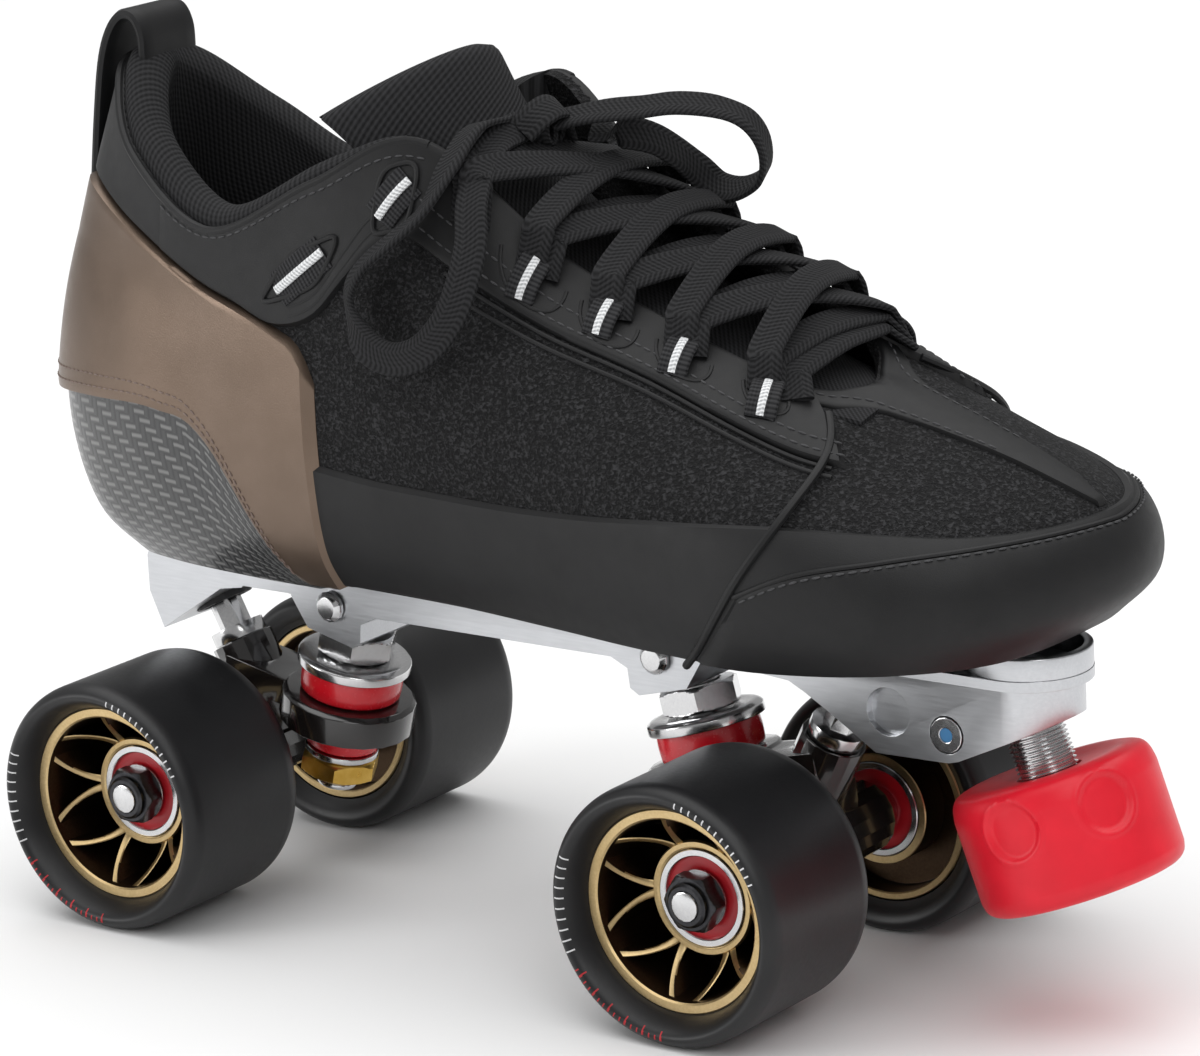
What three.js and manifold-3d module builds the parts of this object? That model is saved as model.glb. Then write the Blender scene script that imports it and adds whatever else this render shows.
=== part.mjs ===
// Quad roller skate: a low derby boot on a lightweight double-action truck plate.
// Millimetres, +Z up, +X towards the toe, +Y towards the other foot (a right skate).
// Inside the script, x = 0 is half-way between the axles and z = 0 is the ground.
import * as THREE from 'three';
import { mergeVertices } from 'three/addons/utils/BufferGeometryUtils.js';
import Module from 'manifold-3d';

const wasm = await Module();
wasm.setup();

// ---------------------------------------------------------------- driving sizes
const GAP = 0.3;                  // what two touching pieces keep between them
const WHEELBASE = 159;            // axle to axle
const TRACK = 84;                 // wheel centre to wheel centre across the skate

const WHEEL_D = 59;
const WHEEL_W = 39;
const TYRE_LIP_R = 26.5;          // where the tread rounds over into the sidewall
const TYRE_ROUND = 4;
const RIM_R = 22;
const RIM_WALL = 2;
const RIM_OUT = 13.2;             // rim faces, outboard and inboard of the wheel centre
const RIM_IN = 16.5;
const CORE_WALL = 1.8;            // metal round each bearing
const SPOKE_PAIRS = 6;
const SPOKE_T = 1.8;
const SPOKE_W = 12;
const BEARING_D = 22;
const BEARING_W = 7;
const BEARING_OUT = 3.2;          // outer bearing's outboard face
const BEARING_IN = 18.5;          // inner bearing's inboard face
const AXLE_D = 7;
const AXLE_END = 10;              // axle end, outboard of the wheel centre
const AXLE_NUT_AF = 12;
const AXLE_NUT_H = 6;

const KINGPIN_TILT = 14;          // degrees, foot of the kingpin towards the axle
const RING_BACK = 26.2;           // yoke ring centre, behind and above the axle
const RING_UP = 12.3;
const RING_D = 32;
const RING_H = 7.6;
const RING_BORE = 14;
const KINGPIN_D = 10;
const KINGPIN_END = 20;           // below the ring centre
const KINGPIN_TOP = 31;           // above the ring centre, inside the plate
const TOP_CUSHION_D = 24;
const TOP_CUSHION_H = 8;
const LOW_CUSHION_D = 20.4;
const LOW_CUSHION_FOOT_D = 17;
const LOW_CUSHION_H = 5.8;
const TOP_WASHER_D = 27;
const TOP_WASHER_H = 3.1;
const WASHER_T = 1.6;
const LOW_WASHER_D = 17.5;
const NUT_AF = 17;
const NUT_H = 5;
const JAM_NUT_H = 6;

const PIVOT_X = 13;               // pivot ball centre, from the axle
const PIVOT_Z = 39.5;
const PIVOT_LEAN = 27;            // pivot pin from the vertical, degrees
const PIVOT_PIN_D = 8;
const PIVOT_PIN_L = 23;           // ball centre to the pin's foot
const PIVOT_COLLAR_D = 13;
const CUP_D = 14;
const CUP_DEPTH = 7;              // cup mouth below the ball centre
const HANGER_TUBE_D = 17;
const HANGER_ARM_W = 15;

const PLATE_TOP = 77.6;
const PLATE_W = 24;
const BEAM_H = 9;
const CHANNEL_W = 14;
const CHANNEL_SKIN = 3;
const TAIL_X = 22.9;              // plate's rear end, behind the rear axle
const FLANGE_W = 28;
const FLANGE_T = 2.4;
const FLANGE_START = 8;           // ahead of the front axle
const TOE_BOSS_X = 56;            // toe-stop boss, ahead of the front axle
const SCREW_HEAD_D = 7.5;
const SCREW_D = 4;
const LOCK_SCREW_X = 42.3;
const LOCK_SCREW_Z = 33.5;
const LOCK_SCREW_D = 8;
const RECESS_X = 27.6;
const RECESS_Z = 36.6;
const RECESS_D = 11;

const STOP_TILT = 20;             // toe stop, foot forward
const STOP_AXIS_Z = 66;           // height at which its axis crosses the boss
const STOP_DROP = 11.4;           // from there down to the stop's top
const STOP_D = 45.4;
const STOP_H = 27.5;
const STEM_D = 13.5;
const STEM_UP = 9;
const STEM_SOCKET = 12;
const LOCK_SLOT_W = 1.5;

const SOLE_T = 4;
const UPPER_T = 3;
const SKIN_GAP = 0.9;             // between the upper and what is sewn on it
const SKIN_T = 1.3;
const LINING_T = 5;
const TONGUE_T = 5;
const TONGUE_STEPS = 14;
const TONGUE_STRIPS = 8;
const PULL_TAB_W = 20;
const LACE_D = 3;
const BOOT_LENGTH_SCALE = 1;      // stretches the last along the foot

// ---------------------------------------------------------------- materials
const finish = (color, roughness, metalness) =>
  new THREE.MeshStandardMaterial({ color, roughness, metalness });
const LOOK = {
  urethane: finish(0x1d1d1e, 0.5, 0),
  hub: finish(0x9a7a45, 0.35, 0.8),
  bearing: finish(0xb5232b, 0.35, 0.5),
  steel: finish(0xb9bbbd, 0.25, 1),
  darkSteel: finish(0x2b2d2e, 0.35, 0.8),
  yellowZinc: finish(0xd9a92c, 0.35, 0.8),
  cushion: finish(0xd8131f, 0.35, 0),
  hanger: finish(0x141314, 0.25, 0.5),
  aluminium: finish(0xcfd1d1, 0.35, 1),
  toeStop: finish(0xe0162a, 0.4, 0),
  cup: finish(0x303134, 0.6, 0),
  carbon: finish(0x202224, 0.2, 0.1),
  textile: finish(0x26272a, 0.9, 0),
  leather: finish(0x1c1c1d, 0.55, 0),
  bronze: finish(0x8f7468, 0.4, 0.5),
  lining: finish(0x222327, 0.95, 0),
  lace: finish(0x18181a, 0.85, 0),
};

// ---------------------------------------------------------------- helpers
const rad = THREE.MathUtils.degToRad;

/** A closed geometry as a manifold solid. */
function solid(geometry, matrix) {
  const bare = geometry.index ? geometry.toNonIndexed() : geometry.clone();
  for (const name of Object.keys(bare.attributes)) {
    if (name !== 'position') bare.deleteAttribute(name);
  }
  if (matrix) bare.applyMatrix4(matrix);
  const merged = mergeVertices(bare, 1e-4);
  return new wasm.Manifold(new wasm.Mesh({
    numProp: 3,
    vertProperties: Float32Array.from(merged.attributes.position.array),
    triVerts: Uint32Array.from(merged.index.array),
  }));
}

/** A manifold solid as a geometry that a mesh can show. */
function shape(body) {
  const mesh = body.getMesh();
  const geometry = new THREE.BufferGeometry();
  geometry.setAttribute('position', new THREE.BufferAttribute(mesh.vertProperties, 3));
  geometry.setIndex(new THREE.BufferAttribute(mesh.triVerts, 1));
  return geometry;
}

function add(parent, name, geometry, material) {
  const mesh = new THREE.Mesh(geometry, material);
  mesh.name = name;
  parent.add(mesh);
  return mesh;
}

/** A body of revolution about +Y; the outline closes on itself. */
function turned(outline, sides) {
  const points = outline.map(([r, y]) => new THREE.Vector2(r, y));
  if (outline[0][0] > 0) points.push(points[0].clone());
  return new THREE.LatheGeometry(points, sides);
}

/** The same, standing up along +Z. */
const turnedUp = (outline, sides) => turned(outline, sides).rotateX(Math.PI / 2);

/** A ring's outline, counter-clockwise. */
const ringOutline = (inner, outer, low, high) =>
  [[inner, low], [outer, low], [outer, high], [inner, high]];

/** A plug along +Z. */
const plug = (r, low, high, sides = 20) =>
  turnedUp([[0, low], [r, low], [r, high], [0, high]], sides);

/** A plug along +Y. */
const crossPlug = (r, low, high, sides = 16) =>
  turned([[0, low], [r, low], [r, high], [0, high]], sides);

/** A hexagonal nut along +Z, measured across its flats. */
function hexNut(acrossFlats, low, high, bore) {
  const corner = acrossFlats / Math.sqrt(3);
  return shape(solid(plug(corner, low, high, 6)).subtract(solid(plug(bore, low - 1, high + 1, 12))));
}

/** A side view in x and z, given a width across the skate. */
function sideBlock(points, width) {
  const outline = new THREE.Shape(points.map(([x, z]) => new THREE.Vector2(x, z)));
  const block = new THREE.ExtrudeGeometry(outline, { depth: width, bevelEnabled: false });
  return block.rotateX(Math.PI / 2).translate(0, width / 2, 0);
}

/** A plan view in x and y, given a height. */
function planBlock(outline, low, high) {
  const block = new THREE.ExtrudeGeometry(outline,
    { depth: high - low, bevelEnabled: false, curveSegments: 12 });
  return block.translate(0, 0, low);
}

// ---------------------------------------------------------------- wheels
const CORE_BORE = BEARING_D / 2 + GAP / 2;
const CORE_R = CORE_BORE + CORE_WALL;
const CORE_STEP_R = CORE_BORE - 2.6;          // the shoulder between the two bearings

function tyreGeometry() {
  const half = WHEEL_W / 2;
  const crown = WHEEL_D / 2;
  const bore = RIM_R + GAP;
  return turned([
    [bore, -RIM_IN], [TYRE_LIP_R, -half], [crown - 1, -half + TYRE_ROUND * 0.4],
    [crown, -half + TYRE_ROUND], [crown, half - TYRE_ROUND],
    [crown - 1, half - TYRE_ROUND * 0.4], [TYRE_LIP_R, half], [bore, RIM_OUT],
  ], 26);
}

function spoke(angle, lean) {
  const along = (r, a) => new THREE.Vector2(r * Math.cos(a), r * Math.sin(a));
  const root = along(CORE_R - 0.6, angle + lean * 0.15);
  const tip = along(RIM_R - RIM_WALL * 0.6, angle + lean);
  const side = tip.clone().sub(root).normalize().rotateAround(new THREE.Vector2(), Math.PI / 2)
    .multiplyScalar(SPOKE_T / 2);
  const corners = [root.clone().add(side), root.clone().sub(side),
    tip.clone().sub(side), tip.clone().add(side)];
  const bar = new THREE.ExtrudeGeometry(new THREE.Shape(corners),
    { depth: SPOKE_W, bevelEnabled: false });
  return bar.translate(0, 0, -SPOKE_W + BEARING_OUT).rotateX(-Math.PI / 2);
}

function hubGeometry() {
  const outerShelf = BEARING_OUT - BEARING_W - GAP;
  const innerShelf = -BEARING_IN + BEARING_W + GAP;
  const core = turned([
    [CORE_BORE, -BEARING_IN], [CORE_R, -BEARING_IN], [CORE_R, BEARING_OUT],
    [CORE_BORE, BEARING_OUT], [CORE_BORE, outerShelf], [CORE_STEP_R, outerShelf],
    [CORE_STEP_R, innerShelf], [CORE_BORE, innerShelf],
  ], 16);
  let hub = solid(turned(ringOutline(RIM_R - RIM_WALL, RIM_R, -RIM_IN, RIM_OUT), 24))
    .add(solid(core));
  for (let pair = 0; pair < SPOKE_PAIRS; pair += 1) {
    const angle = (pair + 1 / 3) * (2 * Math.PI / SPOKE_PAIRS);
    hub = hub.add(solid(spoke(angle, rad(20)))).add(solid(spoke(angle, -rad(20))));
  }
  return shape(hub);
}

const bearingGeometry = (outboardFace) =>
  turned(ringOutline(AXLE_D / 2 + GAP, BEARING_D / 2, outboardFace - BEARING_W, outboardFace), 16);

function wheel(parent, label, y, outboard) {
  const spin = new THREE.Group();
  spin.position.y = y;
  spin.rotation.z = outboard > 0 ? 0 : Math.PI;
  parent.add(spin);
  add(spin, `${label}_tyre`, tyreGeometry(), LOOK.urethane);
  add(spin, `${label}_hub`, hubGeometry(), LOOK.hub);
  add(spin, `${label}_outer_bearing`, bearingGeometry(BEARING_OUT), LOOK.bearing);
  add(spin, `${label}_inner_bearing`, bearingGeometry(BEARING_W - BEARING_IN), LOOK.bearing);
  const nut = hexNut(AXLE_NUT_AF, BEARING_OUT + GAP, BEARING_OUT + GAP + AXLE_NUT_H, AXLE_D / 2 + GAP);
  add(spin, `${label}_axle_nut`, nut.rotateX(-Math.PI / 2), LOOK.darkSteel);
}

// ---------------------------------------------------------------- trucks
// A truck's own frame: origin at the axle centre, +x towards that end of the skate.
const AXLE_Z = WHEEL_D / 2;
const HANGER_HALF = TRACK / 2 - BEARING_IN - GAP;

/** A point in the truck's side view, from along and across the kingpin. */
function fromRing(across, along) {
  const tilt = rad(KINGPIN_TILT);
  return [
    -RING_BACK + across * Math.cos(tilt) - along * Math.sin(tilt),
    RING_UP + across * Math.sin(tilt) + along * Math.cos(tilt),
  ];
}

/** A point on the pivot pin's centre line, this far below the ball. */
function fromBall(below) {
  const lean = rad(PIVOT_LEAN);
  return [PIVOT_X - below * Math.sin(lean), PIVOT_Z - below * Math.cos(lean)];
}

/** Matrices that place pieces made along +Z on the kingpin and on the pivot pin. */
function leaning([x, z], degrees) {
  const place = new THREE.Object3D();
  place.position.set(x, 0, z);
  place.rotation.y = rad(degrees);
  place.updateMatrix();
  return place.matrix;
}
const ON_KINGPIN = leaning([-RING_BACK, RING_UP], -KINGPIN_TILT);
const ON_PIVOT = leaning([PIVOT_X, PIVOT_Z], PIVOT_LEAN);

function hangerGeometry() {
  const ringWall = RING_D / 2 - 3;
  const collarFoot = PIVOT_PIN_L - 6;
  const arm = [
    fromRing(ringWall - 4, RING_H / 2 - 0.5), fromRing(RING_D / 2 + 4, RING_H / 2 - 0.8),
    fromBall(collarFoot + 2), [6, 8], [5, -4], [-5, -5], [-7, 2],
    fromRing(RING_D / 2 + 1, -RING_H / 2 + 0.3), fromRing(ringWall - 4, -RING_H / 2 + 0.5),
  ].reverse();
  const tube = turned([
    [0, -HANGER_HALF], [6, -HANGER_HALF], [HANGER_TUBE_D / 2, -HANGER_HALF + 5],
    [HANGER_TUBE_D / 2, HANGER_HALF - 5], [6, HANGER_HALF], [0, HANGER_HALF],
  ], 16);
  const ring = turnedUp([
    [RING_BORE / 2, -RING_H / 2], [RING_D / 2, -RING_H / 2], [RING_D / 2, RING_H / 2 - 1],
    [RING_D / 2 - 1, RING_H / 2], [RING_BORE / 2, RING_H / 2],
  ], 20);
  const boss = plug(PIVOT_COLLAR_D / 2 + 1, -PIVOT_PIN_L - 8, -collarFoot, 16);
  const pinBore = plug(PIVOT_PIN_D / 2 + GAP, -PIVOT_PIN_L - GAP, 0, 16);
  return shape(solid(tube).add(solid(sideBlock(arm, HANGER_ARM_W))).add(solid(ring, ON_KINGPIN))
    .add(solid(boss, ON_PIVOT)).subtract(solid(pinBore, ON_PIVOT))
    .subtract(solid(crossPlug(AXLE_D / 2 + GAP, -TRACK, TRACK, 16))));
}

function pivotPinGeometry() {
  const r = PIVOT_PIN_D / 2;
  const collarFoot = PIVOT_PIN_L - 6;
  const shank = plug(r, -PIVOT_PIN_L, 0, 6);
  const collar = plug(PIVOT_COLLAR_D / 2, -collarFoot + GAP, -collarFoot + 3.5, 16);
  const ball = new THREE.SphereGeometry(r, 10, 8);
  return shape(solid(shank).add(solid(collar)).add(solid(ball)));
}

const cupGeometry = () => turnedUp([
  [0, PIVOT_PIN_D / 2 + 0.4], [PIVOT_PIN_D / 2, PIVOT_PIN_D / 2 - 1], [PIVOT_PIN_D / 2 + 0.6, 0],
  [PIVOT_PIN_D / 2 + 1.5, -CUP_DEPTH], [CUP_D / 2, -CUP_DEPTH], [CUP_D / 2, CUP_DEPTH - 1],
  [0, CUP_DEPTH - 1],
], 16);

function kingpinPieces(parent, label) {
  const topCushionFoot = RING_H / 2 + GAP;
  const topCushionTop = topCushionFoot + TOP_CUSHION_H;
  const washerTop = topCushionTop + GAP + WASHER_T;
  const lowCushionTop = -RING_H / 2 - GAP;
  const lowCushionFoot = lowCushionTop - LOW_CUSHION_H;
  const lowWasherFoot = lowCushionFoot - GAP - WASHER_T;
  const bore = KINGPIN_D / 2 + GAP;
  const lip = TOP_CUSHION_D / 2 + GAP;
  const stand = new THREE.Group();
  stand.applyMatrix4(ON_KINGPIN);
  parent.add(stand);
  add(stand, `${label}_kingpin`, plug(KINGPIN_D / 2, -KINGPIN_END, KINGPIN_TOP, 18), LOOK.steel);
  add(stand, `${label}_upper_cushion`, turnedUp([
    [bore, topCushionFoot], [TOP_CUSHION_D / 2, topCushionFoot],
    [TOP_CUSHION_D / 2 - 0.2, topCushionTop], [bore, topCushionTop],
  ], 18), LOOK.cushion);
  add(stand, `${label}_upper_washer`, turnedUp([
    [bore, washerTop - WASHER_T], [lip, washerTop - WASHER_T], [lip, washerTop - TOP_WASHER_H],
    [TOP_WASHER_D / 2, washerTop - TOP_WASHER_H], [TOP_WASHER_D / 2, washerTop],
    [bore, washerTop],
  ], 18), LOOK.steel);
  add(stand, `${label}_jam_nut`,
    hexNut(NUT_AF, washerTop + GAP, washerTop + GAP + JAM_NUT_H, bore), LOOK.steel);
  add(stand, `${label}_lower_cushion`, turnedUp([
    [bore, lowCushionFoot], [LOW_CUSHION_FOOT_D / 2, lowCushionFoot],
    [LOW_CUSHION_D / 2, lowCushionTop], [bore, lowCushionTop],
  ], 18), LOOK.cushion);
  add(stand, `${label}_lower_washer`,
    turnedUp(ringOutline(bore, LOW_WASHER_D / 2, lowWasherFoot, lowWasherFoot + WASHER_T), 16),
    LOOK.steel);
  add(stand, `${label}_kingpin_nut`,
    hexNut(NUT_AF, lowWasherFoot - GAP - NUT_H, lowWasherFoot - GAP, bore), LOOK.yellowZinc);
  return washerTop + GAP + JAM_NUT_H;
}

/** Head and shank of the screw that locks the kingpin, from the lateral face. */
function kingpinScrewGeometry() {
  const face = PLATE_W / 2 + GAP;
  const tip = KINGPIN_D / 2 + GAP;
  return turned([
    [0, tip], [SCREW_D / 2, tip], [SCREW_D / 2, face], [SCREW_HEAD_D / 2, face],
    [SCREW_HEAD_D / 2, face + 1], [SCREW_HEAD_D / 2 - 1.2, face + 2.2], [0, face + 2.2],
  ], 14);
}
const LOBE_UP = 21.2;             // lobe's foot, along the kingpin from the ring centre
const SCREW_UP = LOBE_UP + 8;

function truck(skate, end) {
  const label = end > 0 ? 'front' : 'rear';
  const group = new THREE.Group();
  group.position.set(end * WHEELBASE / 2, 0, AXLE_Z);
  group.rotation.z = end > 0 ? 0 : Math.PI;
  skate.add(group);
  add(group, `${label}_hanger`, hangerGeometry(), LOOK.hanger);
  const reach = TRACK / 2 + AXLE_END;
  add(group, `${label}_axle`, crossPlug(AXLE_D / 2, -reach, reach, 14), LOOK.steel);
  add(group, `${label}_pivot_pin`, pivotPinGeometry().applyMatrix4(ON_PIVOT), LOOK.steel);
  add(group, `${label}_pivot_cup`, cupGeometry().applyMatrix4(ON_PIVOT), LOOK.cup);
  kingpinPieces(group, label);
  const screw = add(group, `${label}_kingpin_screw`, kingpinScrewGeometry(), LOOK.steel);
  const [screwX, screwZ] = fromRing(0, SCREW_UP);
  screw.position.set(screwX, 0, screwZ);
  screw.rotation.z = end > 0 ? Math.PI : 0;
  for (const side of [-1, 1]) {
    const place = side * end < 0 ? 'lateral' : 'medial';
    wheel(group, `${label}_${place}`, side * TRACK / 2, side);
  }
}

/** Matrix from a truck's frame to the skate's. */
function truckMatrix(end) {
  const place = new THREE.Object3D();
  place.position.set(end * WHEELBASE / 2, 0, AXLE_Z);
  place.rotation.z = end > 0 ? 0 : Math.PI;
  place.updateMatrix();
  return place.matrix;
}

// ---------------------------------------------------------------- plate
const PLATE_UP = PLATE_TOP - AXLE_Z;          // plate's top, in a truck's frame
const BEAM_FOOT = PLATE_UP - BEAM_H;
const BEAM_THIN = 42;                         // underside between lobe and pivot block

const LOBE = [
  [-20, PLATE_UP], [-21, 41.5], fromRing(6, LOBE_UP), fromRing(-7.5, LOBE_UP),
  [-41, 32.5], [-41.5, 37], [-46, BEAM_FOOT], [-50, PLATE_UP],
];
const TAIL_BLOCK = [
  [TAIL_X - 1, PLATE_UP], [TAIL_X, PLATE_UP - 2], [TAIL_X, 37.3], [19.1, 28.5],
  [0.6, 40.4], [-6, 41.5], [-12, PLATE_UP],
];
const NOSE_BLOCK = [
  [-14, PLATE_UP], [-9, 41], [1.9, 40.1], [5.9, 38.1], [12.4, 34.3], [24.1, 26.9],
  [42.6, 27.2], [45.1, 27.9], [TOE_BOSS_X + PLATE_W / 2 + 1, 39],
  [TOE_BOSS_X + PLATE_W / 2 + 1, PLATE_UP],
];

/** Plate outline from above: square at the heel, round at the toe-stop boss. */
function planOutline(width, start) {
  const front = WHEELBASE / 2 + TOE_BOSS_X;
  const outline = new THREE.Shape();
  outline.moveTo(start, -width / 2);
  outline.lineTo(front, -width / 2);
  outline.absarc(front, 0, width / 2, -Math.PI / 2, Math.PI / 2, false);
  outline.lineTo(start, width / 2);
  return outline;
}

const STOP_X = WHEELBASE / 2 + TOE_BOSS_X;
const ON_STOP = leaning([STOP_X, STOP_AXIS_Z], -STOP_TILT);

function plateHoles() {
  const holes = [];
  for (const end of [-1, 1]) {
    const toSkate = truckMatrix(end);
    const kingpin = plug(KINGPIN_D / 2 + GAP, LOBE_UP - 12, KINGPIN_TOP + GAP, 18);
    holes.push(kingpin.applyMatrix4(ON_KINGPIN).applyMatrix4(toSkate));
    const cup = plug(CUP_D / 2 + GAP, -CUP_DEPTH * 3, CUP_DEPTH - 1 + GAP, 16);
    holes.push(cup.applyMatrix4(ON_PIVOT).applyMatrix4(toSkate));
    const [screwX, screwZ] = fromRing(0, SCREW_UP);
    const screw = crossPlug(SCREW_D / 2 + GAP, -PLATE_W, 0, 14).rotateZ(end > 0 ? 0 : Math.PI);
    holes.push(screw.translate(screwX, 0, screwZ).applyMatrix4(toSkate));
  }
  const x = WHEELBASE / 2;
  const face = PLATE_W / 2;
  const lockZ = AXLE_Z + LOCK_SCREW_Z;
  holes.push(plug(STEM_D / 2 + GAP, -40, 40, 20).applyMatrix4(ON_STOP));
  holes.push(crossPlug(SCREW_D / 2 + GAP, -face - 1, face - 3, 14).translate(x + LOCK_SCREW_X, 0, lockZ));
  holes.push(crossPlug(LOCK_SCREW_D / 2 + GAP, -face - 1, -face + 4, 18)
    .translate(x + LOCK_SCREW_X, 0, lockZ));
  holes.push(crossPlug(RECESS_D / 2, -face - 1, -face + 2, 18)
    .translate(x + RECESS_X, 0, AXLE_Z + RECESS_Z));
  const slotLength = TOE_BOSS_X - RECESS_X - RECESS_D / 2;
  const slot = new THREE.BoxGeometry(slotLength, LOCK_SLOT_W, PLATE_UP - 3 - 20);
  holes.push(slot.translate(STOP_X - slotLength / 2, 0, AXLE_Z + (PLATE_UP - 3 + 20) / 2));
  return holes;
}

function plateGeometry() {
  const rear = -WHEELBASE / 2 - TAIL_X;
  const beamEnd = WHEELBASE / 2 - 20;
  const outline = [[rear + 6, BEAM_THIN], [-beamEnd, BEAM_THIN], [-beamEnd + 20, BEAM_FOOT],
    [beamEnd - 20, BEAM_FOOT], [beamEnd, BEAM_THIN], [beamEnd + 20, BEAM_THIN],
    [beamEnd + 20, PLATE_UP], [rear + 6, PLATE_UP]];
  const up = new THREE.Matrix4().makeTranslation(0, 0, AXLE_Z);
  let body = solid(sideBlock(outline, PLATE_W), up);
  body = body.add(solid(sideBlock([...TAIL_BLOCK].reverse(), PLATE_W), truckMatrix(-1)));
  body = body.add(solid(sideBlock(NOSE_BLOCK, PLATE_W), truckMatrix(1)));
  for (const end of [-1, 1]) body = body.add(solid(sideBlock(LOBE, PLATE_W), truckMatrix(end)));
  body = body.intersect(solid(planBlock(planOutline(PLATE_W, rear), 0, PLATE_TOP)));
  const flange = planOutline(FLANGE_W, WHEELBASE / 2 + FLANGE_START);
  body = body.add(solid(planBlock(flange, PLATE_TOP - FLANGE_T, PLATE_TOP)));
  const channelEnd = WHEELBASE / 2 - RING_BACK - RING_D / 2 - 8;
  const channel = new THREE.BoxGeometry(2 * channelEnd, CHANNEL_W, BEAM_H * 2);
  body = body.subtract(solid(channel.translate(0, 0, PLATE_TOP - CHANNEL_SKIN - BEAM_H)));
  for (const hole of plateHoles()) body = body.subtract(solid(hole));
  return shape(body);
}

function lockScrewGeometry() {
  const face = PLATE_W / 2;
  return turned([
    [0, -face + 0.4], [1.6, -face + 0.4], [1.6, -face - GAP], [LOCK_SCREW_D / 2, -face - GAP],
    [LOCK_SCREW_D / 2, -face + 3.6], [SCREW_D / 2, -face + 3.6], [SCREW_D / 2, face - 4],
    [0, face - 4],
  ], 16);
}

// ---------------------------------------------------------------- toe stop
function toeStop(skate) {
  const r = STOP_D / 2;
  const socket = STEM_D / 2 + GAP;
  const holder = new THREE.Group();
  holder.applyMatrix4(ON_STOP);
  skate.add(holder);
  add(holder, 'toe_stop', turnedUp([
    [0, -STOP_DROP - STOP_H], [r - 2.5, -STOP_DROP - STOP_H], [r, -STOP_DROP - STOP_H + 2.5],
    [r - 0.6, -STOP_DROP - 5], [r - 2, -STOP_DROP - 1.6], [r - 5, -STOP_DROP],
    [socket, -STOP_DROP], [socket, -STOP_DROP - STEM_SOCKET], [0, -STOP_DROP - STEM_SOCKET],
  ], 30), LOOK.toeStop);
  const foot = -STOP_DROP - STEM_SOCKET + GAP;
  add(holder, 'toe_stop_stem', plug(STEM_D / 2, foot, STEM_UP, 18), LOOK.steel);
}

// ---------------------------------------------------------------- boot
// Half of the last, heel to toe. Each station holds its points from the edge of the
// sole up to the top line, as x, distance out from the middle, and z.
const LAST = [
  [[-106, 0, 80], [-116, 0, 91], [-121.5, 0, 112], [-119, 0, 138], [-111, 0, 166], [-103, 0, 195]],
  [[-97, 16, 80], [-107, 20, 91], [-112.5, 21, 112], [-111, 20, 138], [-105, 17, 165], [-97, 14, 191]],
  [[-80, 23, 80], [-85, 28, 92], [-88, 31, 112], [-88, 30, 136], [-87, 27, 157], [-83, 27, 177]],
  [[-55, 26, 80], [-57, 32, 92], [-58, 35, 112], [-58, 35, 132], [-57, 34, 149], [-56, 34, 163]],
  [[-25, 27, 80], [-25, 34, 92], [-24, 38, 112], [-24, 38, 133], [-24, 36, 154], [-26, 33, 176]],
  [[5, 29, 80], [4, 36, 92], [5, 40, 112], [5, 40, 131], [4, 35, 154], [0, 26, 186]],
  [[35, 33, 80], [36, 40, 92], [37, 43, 110], [37, 41, 127], [35, 33, 144], [31, 18, 161]],
  [[65, 38, 80], [68, 45, 92], [69, 47, 108], [68, 43, 122], [65, 32, 136], [59, 17, 148]],
  [[95, 41, 80], [98, 48, 92], [99, 49, 106], [97, 43, 118], [92, 30, 129], [83, 16, 139]],
  [[121, 38, 82], [127, 44, 93], [127, 44, 105], [121, 37, 115], [110, 23, 125], [92, 11, 135.5]],
  [[140, 25, 85], [147.5, 28.5, 95], [146.5, 28.5, 106], [139, 23, 115], [121, 14, 125], [96, 5, 135]],
  [[148, 0, 88], [158.5, 0, 98], [157.5, 0, 108], [149, 0, 116], [128, 0, 125.5], [98, 0, 135.5]],
];
const TOE = LAST.length - 1;                  // the toe's station; the heel is station 0
const AROUND = 2 * TOE;                       // stations all the way round
const TOP_LINE = LAST[0].length - 1;
const SLAB_END = 0.25;                        // stations left off at each end of a sole slab
const TOE_SWING = 4;                          // how far the toe leans to the medial side
const INSTEP_RISE = 8;                        // how far the medial top line stands over the lateral

/** One point of the last, round from the heel along the lateral side. */
function lastPoint(station, level) {
  const turn = ((station % AROUND) + AROUND) % AROUND;
  const lateral = turn <= TOE;
  const [x, out, z] = LAST[lateral ? turn : AROUND - turn][level];
  const swing = TOE_SWING * (Math.max(0, x - 60) / 105) ** 2;
  const instep = Math.sin(Math.PI * THREE.MathUtils.clamp((AROUND - turn - 3) / 7.5, 0, 1));
  const rise = lateral ? 0 : INSTEP_RISE * instep * (level / TOP_LINE) ** 2;
  return new THREE.Vector3(x * BOOT_LENGTH_SCALE, (lateral ? -out : out) + swing, z + rise);
}

const LEVEL_RINGS = LAST[0].map((_, level) => new THREE.CatmullRomCurve3(
  Array.from({ length: AROUND }, (_, station) => lastPoint(station, level)), true, 'catmullrom'));

/** Point on the boot's outer surface; station runs round it, level up it. */
function onBoot(station, level) {
  const turn = (((station % AROUND) + AROUND) % AROUND) / AROUND;
  const rise = new THREE.CatmullRomCurve3(LEVEL_RINGS.map((ring) => ring.getPoint(turn)),
    false, 'catmullrom');
  return rise.getPoint(THREE.MathUtils.clamp(level / TOP_LINE, 0, 1));
}

/** The same point moved out from the surface. */
function offBoot(station, level, out) {
  const step = 0.05;
  const low = Math.max(0, level - step);
  const high = Math.min(TOP_LINE, level + step);
  const across = onBoot(station + step, level).sub(onBoot(station - step, level));
  const upward = onBoot(station, high).sub(onBoot(station, low));
  const normal = across.cross(upward).normalize();
  return onBoot(station, level).addScaledVector(normal, out);
}

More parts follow.
